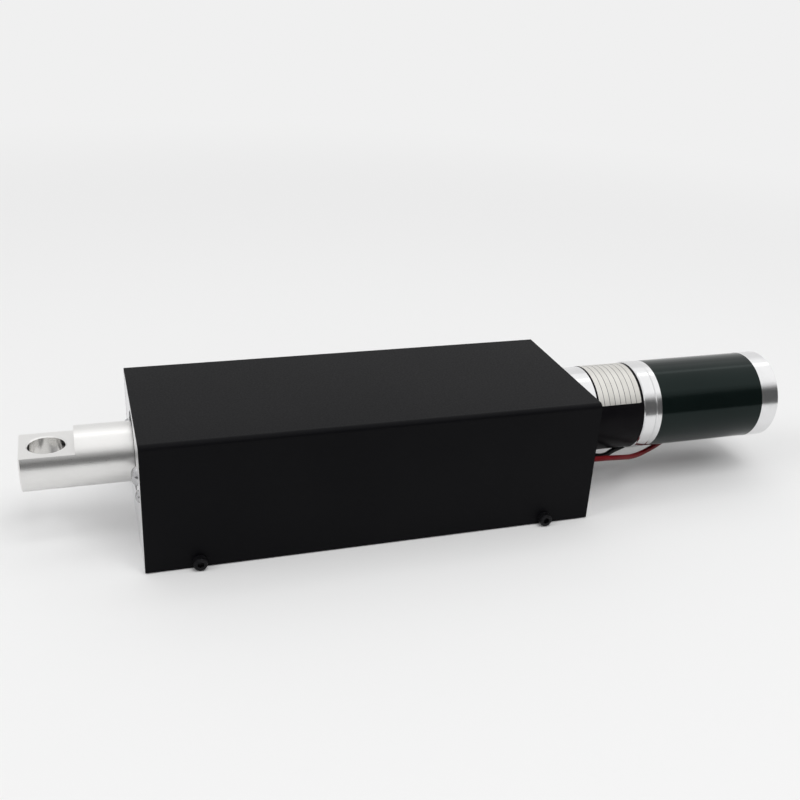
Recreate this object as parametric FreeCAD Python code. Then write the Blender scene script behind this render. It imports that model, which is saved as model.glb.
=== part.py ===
import FreeCAD, Part
import math
import os

# Electric linear actuator. A push rod slides out of a sheet-covered box, driven by a lead screw and
# an in-line planetary gear motor. X runs from the rod's eye towards the motor, Z is up, and the
# origin is the centre of the base plate's underside. All lengths are millimetres.

# Box: base plate, two end plates and a folded cover
BOX_LENGTH = 186.0
BOX_WIDTH = 74.0
COVER_OVER_AXIS = 20.5
COVER_LIFT = 0.5
COVER_SHEET = 1.5
COVER_BEND = 2.0
COVER_PLAY = 0.2
BASE_THICK = 6.0
FRONT_PLATE = 12.0
REAR_PLATE = 8.0
AXIS_HEIGHT = 34.0
PLATE_EDGE = 0.4

# Holes under the base plate for the user's own screws
FOOT_HOLE_DIA = 4.2
FOOT_SPACING_X = 130.0
FOOT_SPACING_Y = 52.0

# Radial plays: seated parts, running parts, screws in threads, screws in plain holes
SEAT_FIT = 0.03
RUN_FIT = 0.03
THREAD_PLAY = 0.05
HOLE_PLAY = 0.25

# Push rod with an eye through its flat end
ROD_DIA = 24.0
ROD_REACH = 42.3
ROD_BORE = 13.5
ROD_EDGE = 0.5
EYE_DIA = 14.0
EYE_FROM_TIP = 10.2
EYE_FLAT_LENGTH = 20.6
EYE_FLAT_RISE = 6.0
EYE_EDGE = 0.5

# Rod guide in the front plate
WIPER_DIA = 32.0
WIPER_DEPTH = 4.0
WIPER_LIP = 1.2
BUSH_DIA = 28.0
RETAINER_PLATE = 3.0
RETAINER_WIDTH = 60.0
RETAINER_HEIGHT = 32.0
RETAINER_CORNER = 5.0
RETAINER_SCREW_SPAN = 52.0
RETAINER_SCREW_DROP = 6.0

# Guide rods and the carriage that runs on them
GUIDE_DIA = 8.0
GUIDE_SPAN = 42.0
GUIDE_DEPTH = 7.0
GUIDE_BUSH_WALL = 1.5
CARRIAGE_LENGTH = 22.0
CARRIAGE_WIDTH = 61.0
CARRIAGE_HEIGHT = 30.0
CARRIAGE_CORNER = 6.0
ROD_SEAT = 8.0
FRONT_GAP = 4.0
REST_GAP = 4.5

# Lead screw, its nut and its bearings
SCREW_DIA = 12.0
SCREW_TIP_GAP = 5.0
SCREW_EDGE = 1.0
NUT_BODY_DIA = 18.0
NUT_FLANGE_DIA = 30.0
NUT_FLANGE = 5.0
NUT_SCREW_CIRCLE = 23.6
BEARING_BORE = 10.0
BEARING_OUTER = 26.0
BEARING_WIDTH = 8.0
BEARING_SPLIT_DIA = 16.0
BEARING_SPLIT_GAP = 0.1
BLOCK_HEIGHT = 16.5
BLOCK_CORNER = 8.0
CAP_PLATE = 2.5
CAP_DIA = 40.0
CAP_BORE = 17.0
CAP_SCREW_EDGE = 3.0
CAP_SCREW_CIRCLE = CAP_DIA - 2 * CAP_SCREW_EDGE
LOCK_NUT_ACROSS = 16.0
LOCK_NUT_LENGTH = 5.0
LOCK_GAP = 1.0
COUPLING_DIA = 20.0
COUPLING_LENGTH = 21.0
COUPLING_GAP = 2.0
COUPLING_SLIT = 1.0
SHAFT_DIA = 8.0
SHAFT_END_GAP = 1.0

# Limit switches on a slotted angle rail
RAIL_SHEET = 1.5
RAIL_GRIP = 6.0
RAIL_FOOT = 10.0
RAIL_Y = 14.0
RAIL_END_GAP = 2.5
SLOT_LENGTH = 16.0
SWITCH_LENGTH = 12.8
SWITCH_WIDTH = 5.8
SWITCH_HEIGHT = 6.5
SWITCH_PITCH = 6.5
SWITCH_SCREW_DIA = 2.0
SWITCH_SCREW_HEAD = 3.8
SWITCH_SCREW_HEAD_HEIGHT = 1.3
PLUNGER_DIA = 1.6
PLUNGER_STAND = 1.1
PLUNGER_DEPTH = 2.0
PLUNGER_OFFSET = 2.2
FLAG_LENGTH = 14.0
FLAG_WIDTH = 7.0
FLAG_HEIGHT = 2.0
FLAG_RAMP = 1.5
FLAG_BITE = 0.4
FLAG_GAP = 0.6

# Planetary gearbox
GEARBOX_DIA = 38.4
FLANGE_LENGTH = 9.8
PILOT_DIA = 22.0
PILOT_LENGTH = 4.0
FLANGE_SCREW_CIRCLE = 30.0
GEARBOX_LENGTH = 22.7
SPIGOT_DIA = 32.4
SPIGOT_LENGTH = 2.0
OUTPUT_BUSH_DIA = 14.0
MODULE = 0.6
SUN_TEETH = 15
PLANET_TEETH = 18
PLANET_COUNT = 3
PRESSURE_ANGLE = 20.0
ADDENDUM = 0.9
DEDENDUM = 1.25
BACKLASH = 0.12
PLANET_WIDTH = 9.5
PIN_DIA = 4.0
CARRIER_DIA = 28.0
CARRIER_DISC = 4.6
AXIAL_GAP = 0.5

# Motor
CAN_LENGTH = 52.2
CAN_DIA = 39.4
CAN_WALL = 2.0
RING_EDGE = 0.4
RING_RISE = 0.1
ADAPTER_LENGTH = 6.0
ADAPTER_DIA = CAN_DIA + 2 * RING_RISE
FRONT_CAP_LENGTH = 2.8
END_CAP_LENGTH = 9.5
END_CAP_DIA = CAN_DIA + 2 * RING_RISE
END_CAP_EDGE = 1.0
END_WALL = 3.0
MOTOR_SPIGOT = 3.0
MOTOR_SHAFT_DIA = 5.0
MOTOR_BUSH_DIA = 12.0
MOTOR_BUSH_LENGTH = 6.0
BOSS_WALL = 2.0
MAGNET_THICK = 2.5
MAGNET_SPREAD = 130.0
MAGNET_LENGTH = 27.0
AIR_GAP = 0.7
CORE_DIA = CAN_DIA - 2 * (CAN_WALL + MAGNET_THICK + AIR_GAP)
CORE_LENGTH = 24.0
CORE_SLOTS = 9
CORE_SLOT_WIDTH = 3.0
CORE_SLOT_DEPTH = 5.0
WINDING_LENGTH = 4.0
WINDING_DIA = 23.0
COMMUTATOR_DIA = 11.0
COMMUTATOR_LENGTH = 9.0
BRUSH_WIDTH = 4.0
BRUSH_LENGTH = 5.0
BRUSH_RING_WALL = 4.0
BRUSH_BOX_WALL = 1.2
TIE_BOLT_DIA = 2.5
TIE_BOLT_GAP = 0.25
TIE_BOLT_CIRCLE = CAN_DIA - 2 * (CAN_WALL + TIE_BOLT_GAP) - TIE_BOLT_DIA
TIE_HEAD_DIA = 4.5
TIE_HEAD_HEIGHT = 2.5

# Screws: shank diameter, head diameter and height, hexagon across flats
M3 = 3.0
M3_HEAD = 5.5
M3_HEAD_HEIGHT = 3.0
M3_SOCKET = 2.5
M3_SUNK_HEAD = 6.0
M3_LOW_HEAD = 5.0
M3_LOW_HEIGHT = 1.3
M4 = 4.0
M4_SUNK_HEAD = 8.0
M4_BUTTON_HEAD = 7.6
M4_BUTTON_HEIGHT = 2.2
M4_SOCKET = 2.5
COVER_SCREW_LENGTH = 8.0
COVER_SCREW_INSET = 20.5
BASE_SCREW_LENGTH = 14.0
BASE_SCREW_SPAN = 56.0
BLOCK_SCREW_SPAN = 40.0
GUIDE_SCREW_LENGTH = 14.0
INNER_SCREW_LENGTH = 8.0
GEARBOX_SCREW_LENGTH = 14.0
TAP_SPARE = 1.5
GRUB_LENGTH = 4.0

# Motor leads, the bushing they leave the box by and the boot they enter the motor by. A lead's route is
# given by its distance behind the rear plate, its height off the motor's skin, and its angle in degrees
# from the near side round under the motor.
LEAD_DIA = 2.3
LEAD_PLAY = 0.12
BUSHING_BODY_DIA = 7.6
BUSHING_FLANGE_DIA = 10.0
BUSHING_FLANGE = 1.4
BUSHING_NOSE = 3.0
BOOT_LENGTH = 10.0
BOOT_WIDTH = 10.4
BOOT_DROP = 4.0
RED_ROUTE = [
    (-2.5, 9.9, 21.0), (7.0, 9.9, 21.0), (16.0, 8.0, 27.5), (23.5, 6.2, 36.2), (30.0, 5.0, 45.6),
    (36.6, 3.7, 55.2), (43.6, 2.4, 66.5), (51.0, 1.8, 79.3), (58.0, 1.9, 92.0), (65.0, 2.2, 103.0),
    (72.0, 2.6, 108.3), (79.0, 2.6, 108.3),
]
BLACK_ROUTE = [
    (-2.5, 6.8, 23.0), (5.0, 6.8, 23.0), (11.5, 5.2, 28.5), (17.5, 2.9, 40.5), (23.5, 1.5, 59.0),
    (31.5, 1.6, 79.0), (41.5, 1.8, 95.0), (51.0, 2.1, 106.0), (60.0, 2.7, 113.5), (69.0, 3.3, 118.2),
    (79.0, 3.3, 118.2),
]

# Places along X, chained from the driving sizes
V = FreeCAD.Vector
X_AXIS = V(1, 0, 0)
OVER = 1.0
front_face = -BOX_LENGTH / 2
rear_face = BOX_LENGTH / 2
front_inner = front_face + FRONT_PLATE
rear_inner = rear_face - REAR_PLATE
retainer_face = front_inner + RETAINER_PLATE
coupling_rear = rear_inner - COUPLING_GAP
coupling_front = coupling_rear - COUPLING_LENGTH
coupling_middle = (coupling_front + coupling_rear) / 2
lock_nut_rear = coupling_front - LOCK_GAP
block_rear = lock_nut_rear - LOCK_NUT_LENGTH
block_front = block_rear - 2 * BEARING_WIDTH
cap_front = block_front - CAP_PLATE
nut_rear = cap_front - REST_GAP
carriage_rear = nut_rear - NUT_FLANGE
carriage_front = carriage_rear - CARRIAGE_LENGTH
rod_inner_end = carriage_front + ROD_SEAT
rod_tip = front_face - ROD_REACH
screw_tip = retainer_face + SCREW_TIP_GAP
stroke = carriage_front - retainer_face - FRONT_GAP
flange_end = rear_face + FLANGE_LENGTH
gearbox_end = flange_end + GEARBOX_LENGTH
adapter_end = gearbox_end + ADAPTER_LENGTH
front_cap_end = adapter_end + FRONT_CAP_LENGTH
can_end = front_cap_end + CAN_LENGTH
motor_end = can_end + END_CAP_LENGTH

# Places across and up
plate_half = BOX_WIDTH / 2 - COVER_SHEET - COVER_PLAY
cover_top = AXIS_HEIGHT + COVER_OVER_AXIS
plate_top = cover_top - COVER_SHEET - COVER_PLAY
guide_y = GUIDE_SPAN / 2
guide_bush_dia = GUIDE_DIA + 2 * GUIDE_BUSH_WALL
can_bore = CAN_DIA - 2 * CAN_WALL

# Places inside the gearbox
ring_teeth = SUN_TEETH + 2 * PLANET_TEETH
planet_circle = MODULE * (SUN_TEETH + PLANET_TEETH) / 2
carrier_front = flange_end + SPIGOT_LENGTH + AXIAL_GAP
carrier_rear = carrier_front + CARRIER_DISC
planet_front = carrier_rear + AXIAL_GAP
planet_rear = planet_front + PLANET_WIDTH


def route_point(behind, off_skin, turn):
    """A point of a lead's route in the actuator's frame."""
    radius = max(GEARBOX_DIA, ADAPTER_DIA, CAN_DIA) / 2 + off_skin
    angle = math.radians(turn)
    return V(rear_face + behind, -radius * math.cos(angle), AXIS_HEIGHT - radius * math.sin(angle))


red_points = [route_point(*place) for place in RED_ROUTE]
black_points = [route_point(*place) for place in BLACK_ROUTE]
bushing_middle = (red_points[0] + black_points[0]) / 2
boot_entry = (red_points[-1] + black_points[-1]) / 2


def disc(diameter, x0, x1, y=0.0, z=AXIS_HEIGHT):
    """A round bar along X."""
    return Part.makeCylinder(diameter / 2, x1 - x0, V(x0, y, z), X_AXIS)


def ring(outer, inner, x0, x1, y=0.0, z=AXIS_HEIGHT):
    """A tube along X."""
    return disc(outer, x0, x1, y, z).cut(disc(inner, x0 - OVER, x1 + OVER, y, z))


def turned(profile, sweep=360.0):
    """A lathe part on the actuator's axis, from (x, diameter) corners. A part turn is centred upwards."""
    corners = [V(x, 0, AXIS_HEIGHT + diameter / 2) for x, diameter in profile]
    face = Part.Face(Part.makePolygon(corners + corners[:1]))
    if sweep < 360:
        face.rotate(V(0, 0, AXIS_HEIGHT), X_AXIS, -sweep / 2)
    return face.revolve(V(0, 0, AXIS_HEIGHT), X_AXIS, sweep)


def slab(x0, x1, y0, y1, z0, z1):
    return Part.makeBox(x1 - x0, y1 - y0, z1 - z0, V(x0, y0, z0))


def edges_along(shape, direction):
    """The straight edges that run along a direction."""
    lines = [edge for edge in shape.Edges if edge.Curve.TypeId == "Part::GeomLine"]
    return [edge for edge in lines if abs(edge.tangentAt(edge.FirstParameter) * direction) > 0.999]


def rims(shape, x=None):
    """The round edges of a shape, or only those at one place along X."""
    circles = [edge for edge in shape.Edges if edge.Curve.TypeId == "Part::GeomCircle"]
    return [edge for edge in circles if x is None or abs(edge.CenterOfMass.x - x) < SEAT_FIT]


def hexagon(across, x0, x1):
    """A hexagonal bar along X through the origin."""
    radius = across / math.sqrt(3)
    angles = [math.radians(60 * i) for i in range(6)]
    corners = [V(x0, radius * math.cos(a), radius * math.sin(a)) for a in angles]
    return Part.Face(Part.makePolygon(corners + corners[:1])).extrude(V(x1 - x0, 0, 0))


def cap_screw(dia, length, head, head_height, socket):
    """A socket cap screw along +X, with the underside of its head at the origin."""
    body = disc(head, -head_height, 0, 0, 0).fuse(disc(dia, 0, length, 0, 0)).removeSplitter()
    return body.cut(hexagon(socket, -head_height - OVER, -head_height / 2))


def button_screw(dia, length, head, head_height, socket):
    """A domed screw along +X, with the underside of its head at the origin."""
    rim = V(0, 0, head / 2)
    shoulder = V(-0.7 * head_height, 0, 0.38 * head)
    crown = V(-head_height, 0, 0.22 * head)
    edges = [
        Part.LineSegment(V(0, 0, 0), rim).toShape(),
        Part.Arc(rim, shoulder, crown).toShape(),
        Part.LineSegment(crown, V(-head_height, 0, 0)).toShape(),
        Part.LineSegment(V(-head_height, 0, 0), V(0, 0, 0)).toShape(),
    ]
    dome = Part.Face(Part.Wire(edges)).revolve(V(0, 0, 0), X_AXIS, 360)
    body = dome.fuse(disc(dia, 0, length, 0, 0)).removeSplitter()
    return body.cut(hexagon(socket, -head_height - OVER, -0.4 * head_height))


def sunk_screw(dia, length, head, socket):
    """A countersunk screw along +X, with the top of its head at the origin."""
    cone = Part.makeCone(head / 2, dia / 2, (head - dia) / 2, V(0, 0, 0), X_AXIS)
    body = cone.fuse(disc(dia, 0, length, 0, 0)).removeSplitter()
    return body.cut(hexagon(socket, -OVER, 0.6 * (head - dia) / 2))


def grub_screw(dia, length, socket):
    """A headless screw along +X, with its driven end at the origin."""
    return disc(dia, 0, length, 0, 0).cut(hexagon(socket, -OVER, length / 3))


def placed(shape, point, direction):
    """A copy of a shape made along +X at the origin, turned to a direction and moved to a point."""
    copy = shape.copy()
    copy.Placement = FreeCAD.Placement(V(*point), FreeCAD.Rotation(X_AXIS, V(*direction)))
    return copy


def hole(dia, depth, point, direction):
    """A drill's shape from a little before a point to a depth past it."""
    start = V(*point) - V(*direction) * OVER
    return Part.makeCylinder(dia / 2, depth + OVER, start, V(*direction))


def cut_all(shape, tools):
    return shape.cut(Part.makeCompound(tools))


def round_places(count, circle, start=0.0):
    """Places (y, z) on a circle about the actuator's axis."""
    angles = [math.radians(start + 360.0 * i / count) for i in range(count)]
    return [(circle / 2 * math.cos(a), AXIS_HEIGHT + circle / 2 * math.sin(a)) for a in angles]


# Places of the screws, shared by the screws and by what they pass through
cover_screw_x = (front_face + COVER_SCREW_INSET, rear_face - COVER_SCREW_INSET)
cover_screw_places = [(x, side) for x in cover_screw_x for side in (-1, 1)]
cover_screw_z = BASE_THICK / 2
base_screw_rows = (
    (front_face + FRONT_PLATE / 2, BASE_SCREW_SPAN),
    (rear_face - REAR_PLATE / 2, BASE_SCREW_SPAN),
    ((block_front + block_rear) / 2, BLOCK_SCREW_SPAN),
)
base_screw_places = [(x, side * span / 2) for x, span in base_screw_rows for side in (-1, 1)]
foot_places = [(sx * FOOT_SPACING_X / 2, sy * FOOT_SPACING_Y / 2) for sx in (-1, 1) for sy in (-1, 1)]
retainer_z = AXIS_HEIGHT - RETAINER_SCREW_DROP
retainer_places = [(side * RETAINER_SCREW_SPAN / 2, retainer_z) for side in (-1, 1)]
guide_places = [(side * guide_y, AXIS_HEIGHT) for side in (-1, 1)]
nut_places = round_places(4, NUT_SCREW_CIRCLE, 45)
cap_places = round_places(4, CAP_SCREW_CIRCLE, 45)
gearbox_places = round_places(4, FLANGE_SCREW_CIRCLE, 45)
tie_places = round_places(2, TIE_BOLT_CIRCLE)
lead_places = [(start.y, start.z) for start in (red_points[0], black_points[0])]

# Places of the limit switches: each plunger stands just past the flag at one end of the stroke
carriage_bottom = AXIS_HEIGHT - CARRIAGE_HEIGHT / 2
carriage_middle = (carriage_front + carriage_rear) / 2
flag_reach = FLAG_LENGTH / 2 + FLAG_GAP + PLUNGER_DIA / 2
rear_plunger_x = carriage_middle + flag_reach
front_plunger_x = carriage_middle - stroke - flag_reach
flag_bottom = carriage_bottom - FLAG_HEIGHT
switch_top = flag_bottom + FLAG_BITE - PLUNGER_STAND
switch_bottom = switch_top - SWITCH_HEIGHT
flag_y = RAIL_Y - SWITCH_WIDTH / 2
flag_screw_places = [(carriage_middle + step * FLAG_LENGTH / 4, flag_y) for step in (-1, 1)]
switch_screw_z = switch_bottom + SWITCH_HEIGHT / 3
rail_screw_x = (front_plunger_x + SWITCH_LENGTH, rear_plunger_x - 2 * SWITCH_LENGTH)
rail_screw_y = RAIL_Y + (RAIL_SHEET + RAIL_FOOT) / 2
rail_screw_places = [(x, rail_screw_y) for x in rail_screw_x]


def switch_screw_places(plunger_x, towards):
    """The two mounting screws of a switch, whose plunger stands off its middle."""
    middle = plunger_x + towards * PLUNGER_OFFSET
    return [middle - SWITCH_PITCH / 2, middle + SWITCH_PITCH / 2]


def base_plate():
    plate = slab(front_face, rear_face, -plate_half, plate_half, 0, BASE_THICK)
    plate = plate.makeChamfer(PLATE_EDGE, edges_along(plate, V(0, 0, 1)))
    tools = []
    for x, side in cover_screw_places:
        mouth = (x, side * plate_half, cover_screw_z)
        tools.append(hole(M3 + 2 * THREAD_PLAY, COVER_SCREW_LENGTH + TAP_SPARE, mouth, (0, -side, 0)))
    for x, y in base_screw_places:
        tools.append(hole(M4 + 2 * HOLE_PLAY, BASE_THICK + OVER, (x, y, 0), (0, 0, 1)))
        sunk = M4_SUNK_HEAD + 2 * HOLE_PLAY
        tools.append(Part.makeCone(sunk / 2, 0, sunk / 2, V(x, y, 0), V(0, 0, 1)))
    for x, y in foot_places:
        tools.append(hole(FOOT_HOLE_DIA, BASE_THICK + OVER, (x, y, 0), (0, 0, 1)))
    for x, y in rail_screw_places:
        tools.append(hole(M3 + 2 * THREAD_PLAY, BASE_THICK + OVER, (x, y, BASE_THICK), (0, 0, -1)))
    return cut_all(plate, tools)


def base_tap(x, y):
    """The threaded hole that a base screw enters above the base plate."""
    depth = BASE_SCREW_LENGTH - BASE_THICK + TAP_SPARE
    return hole(M4 + 2 * THREAD_PLAY, depth, (x, y, BASE_THICK), (0, 0, 1))


def end_plate(x0, x1):
    plate = slab(x0, x1, -plate_half, plate_half, BASE_THICK, plate_top)
    plate = plate.makeChamfer(PLATE_EDGE, edges_along(plate, V(0, 1, 0)))
    return cut_all(plate, [base_tap(x, y) for x, y in base_screw_places if x0 < x < x1])


def front_plate():
    tools = [
        disc(WIPER_DIA + 2 * SEAT_FIT, front_face - OVER, front_face + WIPER_DEPTH),
        disc(BUSH_DIA + 2 * SEAT_FIT, front_face, front_inner + OVER),
    ]
    for y, z in guide_places:
        tools.append(disc(GUIDE_DIA + 2 * SEAT_FIT, front_inner - GUIDE_DEPTH, front_inner + OVER, y, z))
        tools.append(disc(M4 + 2 * HOLE_PLAY, front_face - OVER, front_inner, y, z))
    for y, z in retainer_places:
        tools.append(disc(M3 + 2 * HOLE_PLAY, front_face - OVER, front_inner + OVER, y, z))
    return cut_all(end_plate(front_face, front_inner), tools)


def rear_plate():
    tools = [disc(PILOT_DIA + 2 * SEAT_FIT, rear_inner - OVER, rear_face + OVER)]
    for y, z in gearbox_places:
        tools.append(disc(M3 + 2 * HOLE_PLAY, rear_inner - OVER, rear_face + OVER, y, z))
    bushing_dia = BUSHING_BODY_DIA + 2 * SEAT_FIT
    tools.append(disc(bushing_dia, rear_inner - OVER, rear_face + OVER, bushing_middle.y, bushing_middle.z))
    return cut_all(end_plate(rear_inner, rear_face), tools)


def top_cover():
    """One sheet folded to an upside-down U, with a hole for each screw near its lower edges."""
    half = BOX_WIDTH / 2
    outer = slab(front_face, rear_face, -half, half, COVER_LIFT, cover_top)
    top_edges = [e for e in edges_along(outer, X_AXIS) if e.CenterOfMass.z > cover_top - OVER]
    outer = outer.makeFillet(COVER_BEND, top_edges)
    inner_half = half - COVER_SHEET
    inner_top = cover_top - COVER_SHEET
    inner = slab(front_face - OVER, rear_face + OVER, -inner_half, inner_half, COVER_LIFT - OVER, inner_top)
    inner_edges = [e for e in edges_along(inner, X_AXIS) if e.CenterOfMass.z > inner_top - OVER]
    inner = inner.makeFillet(max(COVER_BEND - COVER_SHEET, COVER_PLAY), inner_edges)
    holes = []
    for x, side in cover_screw_places:
        mouth = (x, side * half, cover_screw_z)
        holes.append(hole(M3 + 2 * HOLE_PLAY, COVER_SHEET + OVER, mouth, (0, -side, 0)))
    return cut_all(outer.cut(inner), holes)


def cover_screws():
    screw = cap_screw(M3, COVER_SCREW_LENGTH, M3_HEAD, M3_HEAD_HEIGHT, M3_SOCKET)
    half = BOX_WIDTH / 2
    return Part.makeCompound([placed(screw, (x, side * half, cover_screw_z), (0, -side, 0))
                              for x, side in cover_screw_places])


def base_screws():
    screw = sunk_screw(M4, BASE_SCREW_LENGTH, M4_SUNK_HEAD, M4_SOCKET)
    sunk_z = HOLE_PLAY - SEAT_FIT
    return Part.makeCompound([placed(screw, (x, y, sunk_z), (0, 0, 1)) for x, y in base_screw_places])


def rod_bush():
    return ring(BUSH_DIA, ROD_DIA + 2 * RUN_FIT, front_face + WIPER_DEPTH, front_inner)


def rod_wiper():
    """A rubber ring flush with the front plate, its lip leaning out along the rod."""
    bore = ROD_DIA + 4 * RUN_FIT
    rear = front_face + WIPER_DEPTH
    step = front_face + WIPER_LIP
    return turned([
        (rear, bore + 2 * WIPER_LIP), (rear, WIPER_DIA), (step, WIPER_DIA), (step, bore + 3 * WIPER_LIP),
        (front_face, bore + WIPER_LIP), (front_face, bore), (step, bore),
    ])


def bush_retainer():
    half = RETAINER_WIDTH / 2
    low = AXIS_HEIGHT - RETAINER_HEIGHT / 2
    plate = slab(front_inner, retainer_face, -half, half, low, low + RETAINER_HEIGHT)
    plate = plate.makeFillet(RETAINER_CORNER, edges_along(plate, X_AXIS))
    tools = [disc(ROD_DIA + 4 * HOLE_PLAY, front_inner - OVER, retainer_face + OVER)]
    for y, z in guide_places:
        tools.append(disc(GUIDE_DIA + 2 * HOLE_PLAY, front_inner - OVER, retainer_face + OVER, y, z))
    for y, z in retainer_places:
        tools.append(disc(M3 + 2 * THREAD_PLAY, front_inner - OVER, retainer_face + OVER, y, z))
    return cut_all(plate, tools)


def retainer_screws():
    length = FRONT_PLATE + RETAINER_PLATE
    screw = button_screw(M3, length, M3_LOW_HEAD, M3_LOW_HEIGHT, M3_SOCKET / 1.25)
    return Part.makeCompound([placed(screw, (front_face, y, z), (1, 0, 0)) for y, z in retainer_places])


def guide_rods():
    """Two ground bars from the front plate to the bearing block, tapped at the front."""
    start = front_inner - GUIDE_DEPTH
    depth = GUIDE_SCREW_LENGTH - FRONT_PLATE + GUIDE_DEPTH + TAP_SPARE
    bars = []
    for y, z in guide_places:
        bar = disc(GUIDE_DIA, start, block_rear, y, z)
        bar = bar.makeChamfer(PLATE_EDGE, rims(bar))
        bars.append(bar.cut(hole(M4 + 2 * THREAD_PLAY, depth, (start, y, z), (1, 0, 0))))
    return Part.makeCompound(bars)


def guide_rod_screws():
    screw = button_screw(M4, GUIDE_SCREW_LENGTH, M4_BUTTON_HEAD, M4_BUTTON_HEIGHT, M4_SOCKET)
    return Part.makeCompound([placed(screw, (front_face, y, z), (1, 0, 0)) for y, z in guide_places])


def push_rod():
    """A drilled round bar, milled flat on top round its cross hole."""
    bar = disc(ROD_DIA, rod_tip, rod_inner_end)
    bar = bar.makeChamfer(ROD_EDGE, rims(bar))
    half = ROD_DIA / 2 + OVER
    shoulder = rod_tip + EYE_FLAT_LENGTH
    eye_x = rod_tip + EYE_FROM_TIP
    flat_z = AXIS_HEIGHT + EYE_FLAT_RISE
    mouth = V(eye_x, 0, flat_z)
    tools = [
        slab(rod_tip - OVER, shoulder, -half, half, flat_z, AXIS_HEIGHT + half),
        hole(EYE_DIA, ROD_DIA, mouth, (0, 0, -1)),
        Part.makeCone(EYE_DIA / 2 + EYE_EDGE, EYE_DIA / 2, EYE_EDGE, mouth, V(0, 0, -1)),
        disc(ROD_BORE, screw_tip - SCREW_TIP_GAP, rod_inner_end + OVER),
    ]
    return cut_all(bar, tools)


def carriage():
    """A block that ties the rod to the nut and rides on both guide rods."""
    half = CARRIAGE_WIDTH / 2
    top = carriage_bottom + CARRIAGE_HEIGHT
    block = slab(carriage_front, carriage_rear, -half, half, carriage_bottom, top)
    block = block.makeFillet(CARRIAGE_CORNER, edges_along(block, X_AXIS))
    tools = [
        disc(ROD_DIA + 2 * SEAT_FIT, carriage_front - OVER, rod_inner_end),
        disc(NUT_BODY_DIA + 2 * SEAT_FIT, carriage_front, carriage_rear + OVER),
    ]
    for y, z in guide_places:
        tools.append(disc(guide_bush_dia + 2 * SEAT_FIT, carriage_front - OVER, carriage_rear + OVER, y, z))
    tap = M3 + 2 * THREAD_PLAY
    nut_depth = INNER_SCREW_LENGTH - NUT_FLANGE + M3_HEAD_HEIGHT + TAP_SPARE
    for y, z in nut_places:
        tools.append(hole(tap, nut_depth, (carriage_rear, y, z), (-1, 0, 0)))
    flag_depth = INNER_SCREW_LENGTH - FLAG_HEIGHT + TAP_SPARE
    for x, y in flag_screw_places:
        tools.append(hole(tap, flag_depth, (x, y, carriage_bottom), (0, 0, 1)))
    grub_mouth = (carriage_front + ROD_SEAT / 2, 0, top)
    tools.append(hole(M4 + 2 * THREAD_PLAY, CARRIAGE_HEIGHT / 2, grub_mouth, (0, 0, -1)))
    return cut_all(block, tools)


def rod_lock_screw():
    top = AXIS_HEIGHT + ROD_DIA / 2 + SEAT_FIT + GRUB_LENGTH
    grub = grub_screw(M4, GRUB_LENGTH, M4_SOCKET)
    return placed(grub, (carriage_front + ROD_SEAT / 2, 0, top), (0, 0, -1))


def drive_nut():
    """A flanged bronze nut; its thread is plain here."""
    bore = SCREW_DIA + 2 * RUN_FIT
    body = turned([
        (rod_inner_end, bore), (rod_inner_end, NUT_BODY_DIA), (carriage_rear, NUT_BODY_DIA),
        (carriage_rear, NUT_FLANGE_DIA), (nut_rear, NUT_FLANGE_DIA), (nut_rear, bore),
    ])
    head_room = NUT_FLANGE - M3_HEAD_HEIGHT
    tools = []
    for y, z in nut_places:
        tools.append(disc(M3 + 2 * HOLE_PLAY, carriage_rear - OVER, nut_rear + OVER, y, z))
        tools.append(disc(M3_HEAD + 2 * HOLE_PLAY, carriage_rear + head_room, nut_rear + OVER, y, z))
    for y, z in guide_places:
        tools.append(disc(GUIDE_DIA + 4 * HOLE_PLAY, carriage_rear - OVER, nut_rear + OVER, y, z))
    return cut_all(body, tools)


def carriage_screws():
    """Socket screws of the nut and countersunk screws of the trip flag."""
    nut_screw = cap_screw(M3, INNER_SCREW_LENGTH, M3_HEAD, M3_HEAD_HEIGHT, M3_SOCKET)
    under_head = nut_rear - M3_HEAD_HEIGHT
    screws = [placed(nut_screw, (under_head, y, z), (-1, 0, 0)) for y, z in nut_places]
    flag_screw = sunk_screw(M3, INNER_SCREW_LENGTH - HOLE_PLAY, M3_SUNK_HEAD, M3_SOCKET / 1.25)
    sunk_z = flag_bottom + HOLE_PLAY - SEAT_FIT
    screws += [placed(flag_screw, (x, y, sunk_z), (0, 0, 1)) for x, y in flag_screw_places]
    return Part.makeCompound(screws)


def guide_bushes():
    bore = GUIDE_DIA + 2 * RUN_FIT
    return Part.makeCompound([ring(guide_bush_dia, bore, carriage_front, carriage_rear, y, z)
                              for y, z in guide_places])


def trip_flag():
    """A block under the carriage, ramped at both ends, that trips the switches."""
    x0 = carriage_middle - FLAG_LENGTH / 2
    x1 = carriage_middle + FLAG_LENGTH / 2
    y0 = flag_y - FLAG_WIDTH / 2
    corners = [
        V(x0, y0, carriage_bottom), V(x0, y0, flag_bottom + FLAG_RAMP), V(x0 + FLAG_RAMP, y0, flag_bottom),
        V(x1 - FLAG_RAMP, y0, flag_bottom), V(x1, y0, flag_bottom + FLAG_RAMP), V(x1, y0, carriage_bottom),
    ]
    block = Part.Face(Part.makePolygon(corners + corners[:1])).extrude(V(0, FLAG_WIDTH, 0))
    sunk = M3_SUNK_HEAD / 2 + HOLE_PLAY
    tools = []
    for x, y in flag_screw_places:
        tools.append(hole(M3 + 2 * HOLE_PLAY, FLAG_HEIGHT + OVER, (x, y, flag_bottom), (0, 0, 1)))
        tools.append(Part.makeCone(sunk, 0, sunk, V(x, y, flag_bottom), V(0, 0, 1)))
    return cut_all(block, tools)


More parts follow.
